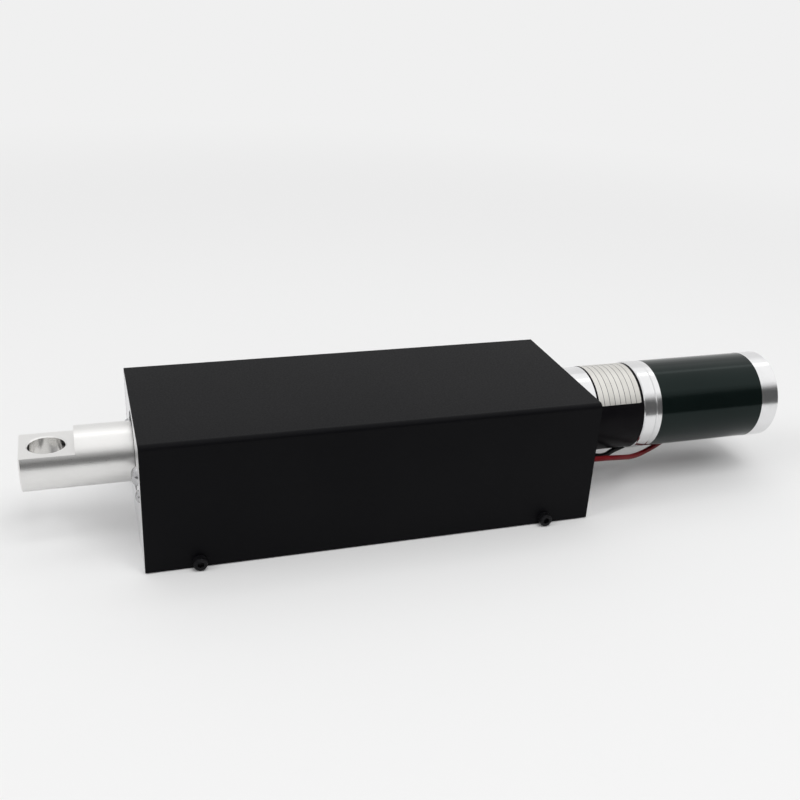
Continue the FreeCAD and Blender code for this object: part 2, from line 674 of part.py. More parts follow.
def bearing_block():
    """A pillow block bolted to the base plate, bored for two ball bearings and both guide rods."""
    half = guide_y + guide_bush_dia / 2 + GUIDE_BUSH_WALL
    top = AXIS_HEIGHT + BLOCK_HEIGHT
    block = slab(block_front, block_rear, -half, half, BASE_THICK, top)
    top_edges = [e for e in edges_along(block, X_AXIS) if e.CenterOfMass.z > top - OVER]
    block = block.makeFillet(BLOCK_CORNER, top_edges)
    tools = [disc(BEARING_OUTER + 2 * SEAT_FIT, block_front - OVER, block_rear + OVER)]
    for y, z in guide_places:
        tools.append(disc(GUIDE_DIA + 2 * SEAT_FIT, block_front - OVER, block_rear + OVER, y, z))
    depth = INNER_SCREW_LENGTH - CAP_PLATE + TAP_SPARE
    for y, z in cap_places:
        tools.append(hole(M3 + 2 * THREAD_PLAY, depth, (block_front, y, z), (1, 0, 0)))
    tools += [base_tap(x, y) for x, y in base_screw_places if block_front < x < block_rear]
    return cut_all(block, tools)


def bearing_cap():
    """A round plate, flat above and below, that holds the bearings in the block."""
    low = AXIS_HEIGHT - BLOCK_HEIGHT
    high = AXIS_HEIGHT + BLOCK_HEIGHT
    plate = ring(CAP_DIA, CAP_BORE, cap_front, block_front)
    plate = plate.common(slab(cap_front, block_front, -CAP_DIA, CAP_DIA, low, high))
    x0 = cap_front - OVER
    x1 = block_front + OVER
    tools = [disc(GUIDE_DIA + 2 * HOLE_PLAY, x0, x1, y, z) for y, z in guide_places]
    tools += [disc(M3 + 2 * HOLE_PLAY, x0, x1, y, z) for y, z in cap_places]
    return cut_all(plate, tools)


def bearing_rings(outer, inner):
    """One ring of each of the two bearings, side by side."""
    middle = (block_front + block_rear) / 2
    spans = [(block_front, middle), (middle, block_rear)]
    return Part.makeCompound([ring(outer, inner, x0, x1) for x0, x1 in spans])


def bearing_outer_rings():
    return bearing_rings(BEARING_OUTER, BEARING_SPLIT_DIA + BEARING_SPLIT_GAP)


def bearing_inner_rings():
    return bearing_rings(BEARING_SPLIT_DIA - BEARING_SPLIT_GAP, BEARING_BORE + 2 * SEAT_FIT)


def lead_screw():
    """The screw's thread is plain here; its rear end is turned down for the bearings and the coupling."""
    shaft_end = coupling_middle - SHAFT_END_GAP / 2
    return turned([
        (screw_tip, 0), (screw_tip, SCREW_DIA - 2 * SCREW_EDGE), (screw_tip + SCREW_EDGE, SCREW_DIA),
        (block_front, SCREW_DIA), (block_front, BEARING_BORE), (lock_nut_rear, BEARING_BORE),
        (lock_nut_rear, SHAFT_DIA), (shaft_end, SHAFT_DIA), (shaft_end, 0),
    ])


def lock_nut():
    nut = hexagon(LOCK_NUT_ACROSS, block_rear, lock_nut_rear)
    nut.translate(V(0, 0, AXIS_HEIGHT))
    return nut.cut(disc(BEARING_BORE + 2 * THREAD_PLAY, block_rear - OVER, lock_nut_rear + OVER))


def coupling_screw_places():
    offset = COUPLING_LENGTH / 4
    return [coupling_middle - offset, coupling_middle + offset]


def shaft_coupling():
    """A round coupling slit across from alternate sides, so that it bends a little."""
    body = ring(COUPLING_DIA, SHAFT_DIA + 2 * SEAT_FIT, coupling_front, coupling_rear)
    radius = COUPLING_DIA / 2
    tools = []
    for step, side in ((-2, 1), (0, -1), (2, 1)):
        x = coupling_middle + step * COUPLING_SLIT - COUPLING_SLIT / 2
        low, high = sorted((AXIS_HEIGHT - side * SHAFT_DIA / 4, AXIS_HEIGHT + side * (radius + OVER)))
        tools.append(slab(x, x + COUPLING_SLIT, -radius - OVER, radius + OVER, low, high))
    for x in coupling_screw_places():
        tools.append(hole(M3 + 2 * THREAD_PLAY, radius, (x, -radius, AXIS_HEIGHT), (0, 1, 0)))
    return cut_all(body, tools)


def coupling_screws():
    length = (COUPLING_DIA - SHAFT_DIA) / 2 - SEAT_FIT
    grub = grub_screw(M3, length, M3_SOCKET / 1.25)
    return Part.makeCompound([placed(grub, (x, -COUPLING_DIA / 2, AXIS_HEIGHT), (0, 1, 0))
                              for x in coupling_screw_places()])


def switch_rail():
    """An angle strip on the base plate, slotted so that each switch can be set along the stroke."""
    x0 = retainer_face + RAIL_END_GAP
    x1 = cap_front - RAIL_END_GAP
    wall = slab(x0, x1, RAIL_Y, RAIL_Y + RAIL_SHEET, BASE_THICK, switch_bottom + RAIL_GRIP)
    foot = slab(x0, x1, RAIL_Y, RAIL_Y + RAIL_FOOT, BASE_THICK, BASE_THICK + RAIL_SHEET)
    rail = wall.fuse(foot).removeSplitter()
    tools = []
    face = RAIL_Y + RAIL_SHEET
    low = switch_screw_z - SWITCH_SCREW_DIA / 2 - HOLE_PLAY
    high = switch_screw_z + SWITCH_SCREW_DIA / 2 + HOLE_PLAY
    head_low = switch_screw_z - SWITCH_SCREW_HEAD / 2 - HOLE_PLAY
    head_out = face + SWITCH_SCREW_HEAD_HEIGHT + HOLE_PLAY
    for plunger_x, towards in ((front_plunger_x, 1), (rear_plunger_x, -1)):
        start = plunger_x + towards * PLUNGER_OFFSET - SLOT_LENGTH / 2
        slot = slab(start, start + SLOT_LENGTH, RAIL_Y - OVER, face + OVER, low, high)
        tools.append(slot.makeFillet(0.48 * (high - low), edges_along(slot, V(0, 1, 0))))
        tools.append(slab(start, start + SLOT_LENGTH, face, head_out, head_low, high))
    for x, y in rail_screw_places:
        tools.append(hole(M3 + 2 * HOLE_PLAY, RAIL_SHEET + OVER, (x, y, BASE_THICK), (0, 0, 1)))
    return cut_all(rail, tools)


def limit_switch(plunger_x, towards):
    """A small snap switch, its plunger hole off the middle of its top."""
    middle = plunger_x + towards * PLUNGER_OFFSET
    x0 = middle - SWITCH_LENGTH / 2
    case = slab(x0, x0 + SWITCH_LENGTH, RAIL_Y - SWITCH_WIDTH, RAIL_Y, switch_bottom, switch_top)
    case = case.makeChamfer(PLATE_EDGE, edges_along(case, V(0, 1, 0)))
    bore = PLUNGER_DIA + 2 * RUN_FIT
    tools = [hole(bore, PLUNGER_DEPTH + PLUNGER_STAND, (plunger_x, flag_y, switch_top), (0, 0, -1))]
    tap = SWITCH_SCREW_DIA + 2 * THREAD_PLAY
    for x in switch_screw_places(plunger_x, towards):
        tools.append(hole(tap, SWITCH_WIDTH + OVER, (x, RAIL_Y, switch_screw_z), (0, -1, 0)))
    return cut_all(case, tools)


def plunger(plunger_x):
    foot = switch_top - PLUNGER_DEPTH
    pin = Part.makeCylinder(PLUNGER_DIA / 2, PLUNGER_DEPTH + PLUNGER_STAND, V(plunger_x, flag_y, foot))
    crown = [edge for edge in rims(pin) if edge.CenterOfMass.z > switch_top]
    return pin.makeFillet(PLUNGER_DIA / 4, crown)


def switch_screws():
    """Small screws through the rail's slots into both switches."""
    length = RAIL_SHEET + SWITCH_WIDTH / 2
    socket = SWITCH_SCREW_DIA / 1.4
    screw = cap_screw(SWITCH_SCREW_DIA, length, SWITCH_SCREW_HEAD, SWITCH_SCREW_HEAD_HEIGHT, socket)
    face = RAIL_Y + RAIL_SHEET
    places = switch_screw_places(front_plunger_x, 1) + switch_screw_places(rear_plunger_x, -1)
    return Part.makeCompound([placed(screw, (x, face, switch_screw_z), (0, -1, 0)) for x in places])


def inner_cap_screws():
    """Socket screws of the bearing cap and the rail."""
    screw = cap_screw(M3, INNER_SCREW_LENGTH, M3_HEAD, M3_HEAD_HEIGHT, M3_SOCKET)
    screws = [placed(screw, (cap_front, y, z), (1, 0, 0)) for y, z in cap_places]
    rail_top = BASE_THICK + RAIL_SHEET
    short = cap_screw(M3, BASE_THICK, M3_HEAD, M3_HEAD_HEIGHT, M3_SOCKET)
    screws += [placed(short, (x, y, rail_top), (0, 0, -1)) for x, y in rail_screw_places]
    return Part.makeCompound(screws)


def gearbox_screws():
    screw = cap_screw(M3, GEARBOX_SCREW_LENGTH, M3_HEAD, M3_HEAD_HEIGHT, M3_SOCKET)
    return Part.makeCompound([placed(screw, (rear_inner, y, z), (1, 0, 0)) for y, z in gearbox_places])


def gearbox_flange():
    """The silver front end of the gearbox, piloted in the rear plate and in the ring gear."""
    pilot_face = rear_face - PILOT_LENGTH
    spigot_end = flange_end + SPIGOT_LENGTH
    bore = OUTPUT_BUSH_DIA + 2 * SEAT_FIT
    body = turned([
        (pilot_face, bore), (pilot_face, PILOT_DIA), (rear_face, PILOT_DIA), (rear_face, GEARBOX_DIA),
        (flange_end, GEARBOX_DIA), (flange_end, SPIGOT_DIA), (spigot_end, SPIGOT_DIA), (spigot_end, bore),
    ])
    depth = GEARBOX_SCREW_LENGTH - REAR_PLATE + TAP_SPARE
    tools = [hole(M3 + 2 * THREAD_PLAY, depth, (rear_face, y, z), (1, 0, 0)) for y, z in gearbox_places]
    return cut_all(body, tools)


def output_bush():
    bore = SHAFT_DIA + 2 * RUN_FIT
    return ring(OUTPUT_BUSH_DIA, bore, rear_face - PILOT_LENGTH, flange_end + SPIGOT_LENGTH)


def toothed(teeth, tip, root, extra, phase, x0, x1):
    """A toothed prism along X through the origin. Its flanks are arcs through three points of the
    involute, and extra is added to the thickness of each tooth at the pitch circle."""
    pitch = MODULE * teeth / 2
    base = pitch * math.cos(math.radians(PRESSURE_ANGLE))

    def involute(radius):
        angle = math.acos(min(1.0, base / radius))
        return math.tan(angle) - angle

    def half_angle(radius):
        return math.pi / (2 * teeth) + extra / (2 * pitch) + involute(pitch) - involute(radius)

    def point(radius, angle):
        return V(x0, radius * math.cos(angle), radius * math.sin(angle))

    middle = (root + tip) / 2
    edges = []
    first = None
    last = None
    for i in range(teeth):
        centre = phase + 2 * math.pi * i / teeth
        rise = [point(r, centre - half_angle(r)) for r in (root, middle, tip)]
        fall = [point(r, centre + half_angle(r)) for r in (tip, middle, root)]
        if last is not None:
            edges.append(Part.LineSegment(last, rise[0]).toShape())
        else:
            first = rise[0]
        edges.append(Part.Arc(*rise).toShape())
        edges.append(Part.LineSegment(rise[2], fall[0]).toShape())
        edges.append(Part.Arc(*fall).toShape())
        last = fall[2]
    edges.append(Part.LineSegment(last, first).toShape())
    return Part.Face(Part.Wire(edges)).extrude(V(x1 - x0, 0, 0))


def gear(teeth, phase, x0, x1):
    pitch = MODULE * teeth / 2
    tip = pitch + ADDENDUM * MODULE
    root = pitch - DEDENDUM * MODULE
    return toothed(teeth, tip, root, -BACKLASH, phase, x0, x1)


def ring_gear():
    """The black middle of the gearbox: a steel tube with teeth cut inside it, recessed at both ends."""
    pitch = MODULE * ring_teeth / 2
    teeth_front = planet_front - AXIAL_GAP / 2
    teeth_rear = planet_rear + AXIAL_GAP / 2
    root = pitch + DEDENDUM * MODULE
    tip = pitch - ADDENDUM * MODULE
    half_pitch = math.pi / ring_teeth
    gaps = toothed(ring_teeth, root, tip, 0, half_pitch, teeth_front - OVER, teeth_rear + OVER)
    gaps.translate(V(0, 0, AXIS_HEIGHT))
    recess = SPIGOT_DIA + 2 * SEAT_FIT
    front_recess = disc(recess, flange_end - OVER, teeth_front)
    rear_recess = disc(recess, teeth_rear, gearbox_end + OVER)
    return cut_all(disc(GEARBOX_DIA, flange_end, gearbox_end), [gaps, front_recess, rear_recess])


planet_angles = [2 * math.pi * i / PLANET_COUNT for i in range(PLANET_COUNT)]
planet_places = round_places(PLANET_COUNT, 2 * planet_circle)


def planet_gear(number):
    """A planet with a gap towards the sun, so that its opposite gap takes a tooth of the ring."""
    phase = planet_angles[number] + math.pi + math.pi / PLANET_TEETH
    wheel = gear(PLANET_TEETH, phase, planet_front, planet_rear)
    wheel = wheel.cut(disc(PIN_DIA + 2 * RUN_FIT, planet_front - OVER, planet_rear + OVER, 0, 0))
    wheel.translate(V(0, *planet_places[number]))
    return wheel


def planet_carrier():
    """The output shaft, its disc and the three pins of the planets, in one piece."""
    shaft_end = coupling_middle + SHAFT_END_GAP / 2
    body = turned([
        (shaft_end, 0), (shaft_end, SHAFT_DIA), (carrier_front, SHAFT_DIA), (carrier_front, CARRIER_DIA),
        (carrier_rear, CARRIER_DIA), (carrier_rear, 0),
    ])
    pin_end = planet_rear + AXIAL_GAP
    pins = [disc(PIN_DIA, carrier_rear - OVER, pin_end, y, z) for y, z in planet_places]
    return body.fuse(pins).removeSplitter()


def sun_gear():
    end = planet_rear + AXIAL_GAP
    wheel = gear(SUN_TEETH, 0, planet_front, end)
    wheel.translate(V(0, 0, AXIS_HEIGHT))
    return wheel.cut(disc(MOTOR_SHAFT_DIA + 2 * SEAT_FIT, planet_front - OVER, end + OVER))


def motor_adapter():
    """The silver ring between the gearbox and the motor, with a spigot inside the ring gear."""
    spigot_front = planet_rear + 3 * AXIAL_GAP
    bore = MOTOR_BUSH_DIA + 2 * BOSS_WALL
    edge_dia = ADAPTER_DIA - 2 * RING_EDGE
    return turned([
        (spigot_front, bore), (spigot_front, SPIGOT_DIA), (gearbox_end, SPIGOT_DIA),
        (gearbox_end, edge_dia), (gearbox_end + RING_EDGE, ADAPTER_DIA),
        (adapter_end - RING_EDGE, ADAPTER_DIA), (adapter_end, edge_dia), (adapter_end, bore),
    ])


def motor_front_cap():
    """The motor's front end, with its bearing boss inside the can."""
    boss = MOTOR_BUSH_DIA + 2 * BOSS_WALL
    bore = MOTOR_BUSH_DIA + 2 * SEAT_FIT
    spigot = can_bore - 2 * SEAT_FIT
    hollow = can_bore - 2 * CAN_WALL
    spigot_end = front_cap_end + MOTOR_SPIGOT
    boss_end = adapter_end + MOTOR_BUSH_LENGTH
    cap = turned([
        (adapter_end, bore), (adapter_end, CAN_DIA - 2 * RING_EDGE), (adapter_end + RING_EDGE, CAN_DIA),
        (front_cap_end, CAN_DIA), (front_cap_end, spigot), (spigot_end, spigot), (spigot_end, hollow),
        (front_cap_end, hollow), (front_cap_end, boss), (boss_end, boss), (boss_end, bore),
    ])
    tap = TIE_BOLT_DIA + 2 * THREAD_PLAY
    taps = [disc(tap, adapter_end + RING_EDGE, spigot_end + OVER, y, z) for y, z in tie_places]
    return cut_all(cap, taps)


def motor_can():
    """A drawn steel tube with a round opening below for the leads."""
    tube = ring(CAN_DIA, can_bore, front_cap_end, can_end)
    below = V(boot_entry.x - LEAD_DIA + BOOT_LENGTH / 2, boot_entry.y, 0)
    return tube.cut(Part.makeCylinder(2 * LEAD_DIA, AXIS_HEIGHT, below))


def motor_bushes():
    bore = MOTOR_SHAFT_DIA + 2 * RUN_FIT
    starts = (adapter_end, motor_end - END_WALL - MOTOR_BUSH_LENGTH)
    return Part.makeCompound([ring(MOTOR_BUSH_DIA, bore, x, x + MOTOR_BUSH_LENGTH) for x in starts])


# Places of the armature, centred in the room between the front boss and the brushes
core_front = adapter_end + MOTOR_BUSH_LENGTH + WINDING_LENGTH + AXIAL_GAP
core_rear = core_front + CORE_LENGTH
core_middle = (core_front + core_rear) / 2
commutator_front = core_rear + WINDING_LENGTH
commutator_rear = commutator_front + COMMUTATOR_LENGTH
brush_x = (commutator_front + commutator_rear) / 2


def motor_magnets():
    """Two curved magnets on the can's inner wall, with a gap at each side for the tie bolts."""
    outer = can_bore - 2 * SEAT_FIT
    inner = can_bore - 2 * MAGNET_THICK
    x0 = core_middle - MAGNET_LENGTH / 2
    x1 = core_middle + MAGNET_LENGTH / 2
    upper = turned([(x0, inner), (x0, outer), (x1, outer), (x1, inner)], MAGNET_SPREAD)
    lower = upper.copy()
    lower.rotate(V(0, 0, AXIS_HEIGHT), X_AXIS, 180)
    return Part.makeCompound([upper, lower])


def motor_shaft():
    start = planet_front
    end = motor_end - END_WALL - AXIAL_GAP
    return disc(MOTOR_SHAFT_DIA, start, end)


def armature_core():
    """A stack of slotted laminations."""
    core = ring(CORE_DIA, MOTOR_SHAFT_DIA + 2 * SEAT_FIT, core_front, core_rear)
    tools = []
    half = CORE_SLOT_WIDTH / 2
    outer = CORE_DIA / 2 + OVER
    for i in range(CORE_SLOTS):
        slot = slab(core_front - OVER, core_rear + OVER, CORE_DIA / 2 - CORE_SLOT_DEPTH, outer, -half, half)
        slot.rotate(V(0, 0, 0), X_AXIS, 360.0 * i / CORE_SLOTS)
        slot.translate(V(0, 0, AXIS_HEIGHT))
        tools.append(slot)
    return cut_all(core, tools)


def armature_windings():
    """The end turns of the coils, a rounded ring at each end of the core."""
    bore = MOTOR_SHAFT_DIA + 2 * SEAT_FIT
    coils = []
    for core_end, coil_end in ((core_front, core_front - WINDING_LENGTH), (core_rear, commutator_front)):
        coil = ring(WINDING_DIA, bore, min(core_end, coil_end), max(core_end, coil_end))
        outer_rim = [edge for edge in rims(coil, coil_end) if edge.Curve.Radius > bore]
        coils.append(coil.makeFillet(WINDING_LENGTH / 2, outer_rim))
    return Part.makeCompound(coils)


def commutator():
    return ring(COMMUTATOR_DIA, MOTOR_SHAFT_DIA + 2 * SEAT_FIT, commutator_front, commutator_rear)


def brush_blocks(width, length, inner, outer):
    """Two radial blocks, above and below the commutator."""
    blocks = []
    for side in (-1, 1):
        low, high = sorted((AXIS_HEIGHT + side * inner / 2, AXIS_HEIGHT + side * outer / 2))
        blocks.append(slab(brush_x - length / 2, brush_x + length / 2, -width / 2, width / 2, low, high))
    return blocks


def brushes():
    bottom = can_bore - 2 * BRUSH_RING_WALL
    blocks = brush_blocks(BRUSH_WIDTH, BRUSH_LENGTH, COMMUTATOR_DIA, bottom)
    round_face = disc(COMMUTATOR_DIA + 2 * RUN_FIT, brush_x - BRUSH_LENGTH, brush_x + BRUSH_LENGTH)
    return Part.makeCompound([block.cut(round_face) for block in blocks])


def brush_ring():
    """A moulded ring in the can with a box for each brush, resting on the end cap's spigot."""
    rear = can_end - MOTOR_SPIGOT
    front = brush_x - BRUSH_LENGTH
    inner = can_bore - 2 * BRUSH_RING_WALL
    body = ring(can_bore - 2 * SEAT_FIT, inner, front, rear)
    box = 2 * BRUSH_BOX_WALL
    outer = inner + BRUSH_RING_WALL
    boxes = brush_blocks(BRUSH_WIDTH + box, BRUSH_LENGTH + box, COMMUTATOR_DIA + box, outer)
    body = body.fuse(boxes).removeSplitter()
    play = 2 * RUN_FIT
    wells = brush_blocks(BRUSH_WIDTH + play, BRUSH_LENGTH + play, COMMUTATOR_DIA, inner)
    bolt_dia = TIE_BOLT_DIA + 2 * HOLE_PLAY
    bolts = [disc(bolt_dia, front - OVER, rear + OVER, y, z) for y, z in tie_places]
    return cut_all(body, wells + bolts)


def motor_end_cap():
    """The silver rear end of the motor, closed, with a bearing boss inside."""
    inner = motor_end - END_WALL
    boss = MOTOR_BUSH_DIA + 2 * BOSS_WALL
    bore = MOTOR_BUSH_DIA + 2 * SEAT_FIT
    spigot_front = can_end - MOTOR_SPIGOT
    spigot = can_bore - 2 * SEAT_FIT
    hollow = can_bore - 2 * CAN_WALL
    boss_front = inner - MOTOR_BUSH_LENGTH
    cap = turned([
        (spigot_front, hollow), (spigot_front, spigot), (can_end, spigot), (can_end, END_CAP_DIA),
        (motor_end - END_CAP_EDGE, END_CAP_DIA), (motor_end, END_CAP_DIA - 2 * END_CAP_EDGE),
        (motor_end, 0), (inner, 0), (inner, bore), (boss_front, bore), (boss_front, boss), (inner, boss),
        (inner, hollow),
    ])
    tools = []
    sunk_face = motor_end - TIE_HEAD_HEIGHT
    for y, z in tie_places:
        tools.append(disc(TIE_BOLT_DIA + 2 * HOLE_PLAY, spigot_front - OVER, motor_end + OVER, y, z))
        tools.append(disc(TIE_HEAD_DIA + 2 * HOLE_PLAY, sunk_face, motor_end + OVER, y, z))
    return cut_all(cap, tools)


def motor_tie_bolts():
    under_head = motor_end - TIE_HEAD_HEIGHT
    length = under_head - front_cap_end
    bolt = cap_screw(TIE_BOLT_DIA, length, TIE_HEAD_DIA, TIE_HEAD_HEIGHT, TIE_BOLT_DIA / 1.25)
    return Part.makeCompound([placed(bolt, (under_head, y, z), (-1, 0, 0)) for y, z in tie_places])


def lead_bushing():
    """A rubber bushing in the rear plate, with a nose that the two leads come out of."""
    nose_end = rear_face + BUSHING_NOSE
    middle = (bushing_middle.y, bushing_middle.z)
    nose = disc(BUSHING_BODY_DIA, rear_inner, nose_end, *middle)
    flange = disc(BUSHING_FLANGE_DIA, rear_face, rear_face + BUSHING_FLANGE, *middle)
    body = nose.fuse(flange).removeSplitter()
    body = body.makeFillet(BUSHING_FLANGE / 2, rims(body, nose_end))
    bore = LEAD_DIA + 2 * LEAD_PLAY
    return cut_all(body, [disc(bore, rear_inner - OVER, nose_end + OVER, y, z) for y, z in lead_places])


def lead_boot():
    """A rubber boot under the can, round the opening where the leads go in."""
    x0 = boot_entry.x - LEAD_DIA
    x1 = x0 + BOOT_LENGTH
    y0 = boot_entry.y - BOOT_WIDTH / 2
    low = red_points[-1].z - BOOT_DROP / 2
    block = slab(x0, x1, y0, y0 + BOOT_WIDTH, low, AXIS_HEIGHT - CAN_DIA / 4)
    low_edges = [edge for edge in edges_along(block, X_AXIS) if edge.CenterOfMass.z < low + OVER]
    block = block.makeFillet(LEAD_DIA / 2, low_edges)
    tools = [disc(CAN_DIA + 2 * SEAT_FIT, x0 - OVER, x1 + OVER)]
    for end in (red_points[-1], black_points[-1]):
        tools.append(disc(LEAD_DIA + 2 * LEAD_PLAY, x0 - OVER, x0 + 2 * LEAD_DIA, end.y, end.z))
    return cut_all(block, tools)


def lead(name, points):
    """A wire along straight runs joined by tangent arcs, each as large as its two runs allow."""
    edges = []
    start = points[0]
    radii = []
    for before, corner, after in zip(points, points[1:], points[2:]):
        back = before - corner
        ahead = after - corner
        turn = math.pi - back.getAngle(ahead)
        trim = 0.45 * min(back.Length, ahead.Length)
        radii.append(trim / math.tan(turn / 2))
        back.normalize()
        ahead.normalize()
        bisector = back + ahead
        bisector.normalize()
        entry = corner + back * trim
        leave = corner + ahead * trim
        middle = corner + bisector * (radii[-1] / math.cos(turn / 2) - radii[-1])
        edges.append(Part.LineSegment(start, entry).toShape())
        edges.append(Part.Arc(entry, middle, leave).toShape())
        start = leave
    edges.append(Part.LineSegment(start, points[-1]).toShape())
    path = Part.Wire(edges)
    section = Part.Wire(Part.makeCircle(LEAD_DIA / 2, points[0], points[1] - points[0]))
    tube = path.makePipeShell([section], True, False)
    expected = math.pi * LEAD_DIA ** 2 / 4 * path.Length
    print(name, "length", round(path.Length, 1), "radii", [round(r, 1) for r in radii],
          "volume share", round(tube.Volume / expected, 4))
    return tube


pieces = {
    "base_plate": base_plate(),
    "front_plate": front_plate(),
    "rear_plate": rear_plate(),
    "top_cover": top_cover(),
    "cover_screws": cover_screws(),
    "base_screws": base_screws(),
    "rod_bush": rod_bush(),
    "rod_wiper": rod_wiper(),
    "bush_retainer": bush_retainer(),
    "retainer_screws": retainer_screws(),
    "guide_rods": guide_rods(),
    "guide_rod_screws": guide_rod_screws(),
    "push_rod": push_rod(),
    "carriage": carriage(),
    "rod_lock_screw": rod_lock_screw(),
    "drive_nut": drive_nut(),
    "carriage_screws": carriage_screws(),
    "guide_bushes": guide_bushes(),
    "trip_flag": trip_flag(),
    "bearing_block": bearing_block(),
    "bearing_cap": bearing_cap(),
    "bearing_outer_rings": bearing_outer_rings(),
    "bearing_inner_rings": bearing_inner_rings(),
    "lead_screw": lead_screw(),
    "lock_nut": lock_nut(),
    "shaft_coupling": shaft_coupling(),
    "coupling_screws": coupling_screws(),
    "switch_rail": switch_rail(),
    "front_switch": limit_switch(front_plunger_x, 1),
    "rear_switch": limit_switch(rear_plunger_x, -1),
    "front_plunger": plunger(front_plunger_x),
    "rear_plunger": plunger(rear_plunger_x),
    "switch_screws": switch_screws(),
    "inner_cap_screws": inner_cap_screws(),
    "gearbox_screws": gearbox_screws(),
    "gearbox_flange": gearbox_flange(),
    "output_bush": output_bush(),
    "ring_gear": ring_gear(),
    "planet_carrier": planet_carrier(),
    "sun_gear": sun_gear(),
    "motor_adapter": motor_adapter(),
    "motor_front_cap": motor_front_cap(),
    "motor_can": motor_can(),
    "motor_bushes": motor_bushes(),
    "motor_magnets": motor_magnets(),
    "motor_shaft": motor_shaft(),
    "armature_core": armature_core(),
    "armature_windings": armature_windings(),
    "commutator": commutator(),
    "brushes": brushes(),
    "brush_ring": brush_ring(),
    "motor_end_cap": motor_end_cap(),
    "motor_tie_bolts": motor_tie_bolts(),
    "lead_bushing": lead_bushing(),
    "lead_boot": lead_boot(),
    "lead_red": lead("lead_red", red_points),
    "lead_black": lead("lead_black", black_points),
}
for number in range(PLANET_COUNT):
    pieces[f"planet_gear_{number + 1}"] = planet_gear(number)

os.makedirs("parts", exist_ok=True)
for name, shape in pieces.items():
    shape.exportStep(f"parts/{name}.step")
print(len(pieces), "pieces, stroke", round(stroke, 2))
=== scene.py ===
import math

import bpy
from mathutils import Matrix, Vector


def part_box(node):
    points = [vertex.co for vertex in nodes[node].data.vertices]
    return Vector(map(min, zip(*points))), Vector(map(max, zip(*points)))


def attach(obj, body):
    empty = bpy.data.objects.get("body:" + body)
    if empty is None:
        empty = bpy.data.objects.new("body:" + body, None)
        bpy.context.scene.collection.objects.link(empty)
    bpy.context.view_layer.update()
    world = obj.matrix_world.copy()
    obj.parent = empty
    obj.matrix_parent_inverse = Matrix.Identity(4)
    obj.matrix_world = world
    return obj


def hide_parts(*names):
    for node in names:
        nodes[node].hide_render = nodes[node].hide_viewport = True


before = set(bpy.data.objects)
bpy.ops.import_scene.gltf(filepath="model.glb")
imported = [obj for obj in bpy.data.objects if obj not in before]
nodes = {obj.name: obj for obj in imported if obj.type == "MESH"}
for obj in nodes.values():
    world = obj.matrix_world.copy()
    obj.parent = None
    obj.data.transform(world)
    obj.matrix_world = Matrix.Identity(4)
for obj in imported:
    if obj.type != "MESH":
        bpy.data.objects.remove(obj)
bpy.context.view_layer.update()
scene = bpy.context.scene
bpy.ops.object.select_all(action="DESELECT")


# Camera. It stands beside the rod's end and above the box, and looks down across the box and a little
# towards the motor, rolled a few degrees as a hand-held camera is.
LENS_PIXELS = 1022.03
FRAME_PIXELS = 800
CAMERA_PLACE = (-0.109817, -0.370488, 0.229799)
CAMERA_AZIMUTH = 18.974
CAMERA_DIP = 25.119
CAMERA_ROLL = 3.396
QUARTER_TURN = math.radians(90)

bpy.ops.object.camera_add()
camera = bpy.context.object
camera.data.lens = camera.data.sensor_width * LENS_PIXELS / FRAME_PIXELS
heading = Matrix.Rotation(math.radians(-CAMERA_AZIMUTH), 4, "Z")
dip = Matrix.Rotation(QUARTER_TURN - math.radians(CAMERA_DIP), 4, "X")
roll = Matrix.Rotation(math.radians(CAMERA_ROLL), 4, "Z")
camera.matrix_world = Matrix.Translation(CAMERA_PLACE) @ heading @ dip @ roll
scene.camera = camera
scene.view_settings.view_transform = "Standard"


# Motor leads. Two stranded wires in soft extruded insulation, one red and one black. They leave the box
# by a bushing in the rear plate, hang along the gearbox and go up into the motor from below.
LEAD_DIAMETER = 0.0023
LEAD_ROUNDNESS = 5
LEAD_STEPS = 10
RED = (0.135, 0.003, 0.006)
RED_DEEP = (0.10, 0.002, 0.004)
LEAD_BLACK = (0.002, 0.002, 0.0025)
LEAD_BLACK_WORN = (0.005, 0.005, 0.006)
TINT_DETAIL = 3
TINT_SPAN = (0.35, 0.65)
GRAIN_DETAIL = 4
GRAIN_SPAN = (0.3, 0.7)
MIX_DARK = 6
MIX_LIGHT = 7
MIX_COLOUR = 2
RED_ROUTE = [
    (0.0905, -0.02773, 0.02336), (0.1000, -0.02773, 0.02336), (0.1090, -0.02466, 0.02116),
    (0.1165, -0.02098, 0.01864), (0.1230, -0.01735, 0.01628), (0.1296, -0.01341, 0.01470),
    (0.1366, -0.00885, 0.01364), (0.1440, -0.00401, 0.01278), (0.1510, 0.00076, 0.01231),
    (0.1580, 0.00495, 0.01256), (0.1650, 0.00703, 0.01273), (0.1720, 0.00703, 0.01273),
]
BLACK_ROUTE = [
    (0.0905, -0.02449, 0.02361), (0.0980, -0.02449, 0.02361), (0.1045, -0.02217, 0.02117),
    (0.1105, -0.01746, 0.01886), (0.1165, -0.01097, 0.01654), (0.1245, -0.00408, 0.01379),
    (0.1345, 0.00188, 0.01248), (0.1440, 0.00604, 0.01295), (0.1530, 0.00897, 0.01337),
    (0.1620, 0.01092, 0.01364), (0.1720, 0.01092, 0.01364),
]


def shader_of(material):
    """The material's own surface shader."""
    return material.node_tree.nodes["Principled BSDF"]


def finish(name, colour, metallic, roughness, **sockets):
    """A surface to build on: what is the same all over it, and a colour and roughness to vary from."""
    material = bpy.data.materials.new(name)
    material.use_nodes = True
    shader = shader_of(material)
    shader.inputs["Base Color"].default_value = (*colour, 1)
    shader.inputs["Metallic"].default_value = metallic
    shader.inputs["Roughness"].default_value = roughness
    for socket, value in sockets.items():
        shader.inputs[socket.replace("_", " ")].default_value = value
    return material


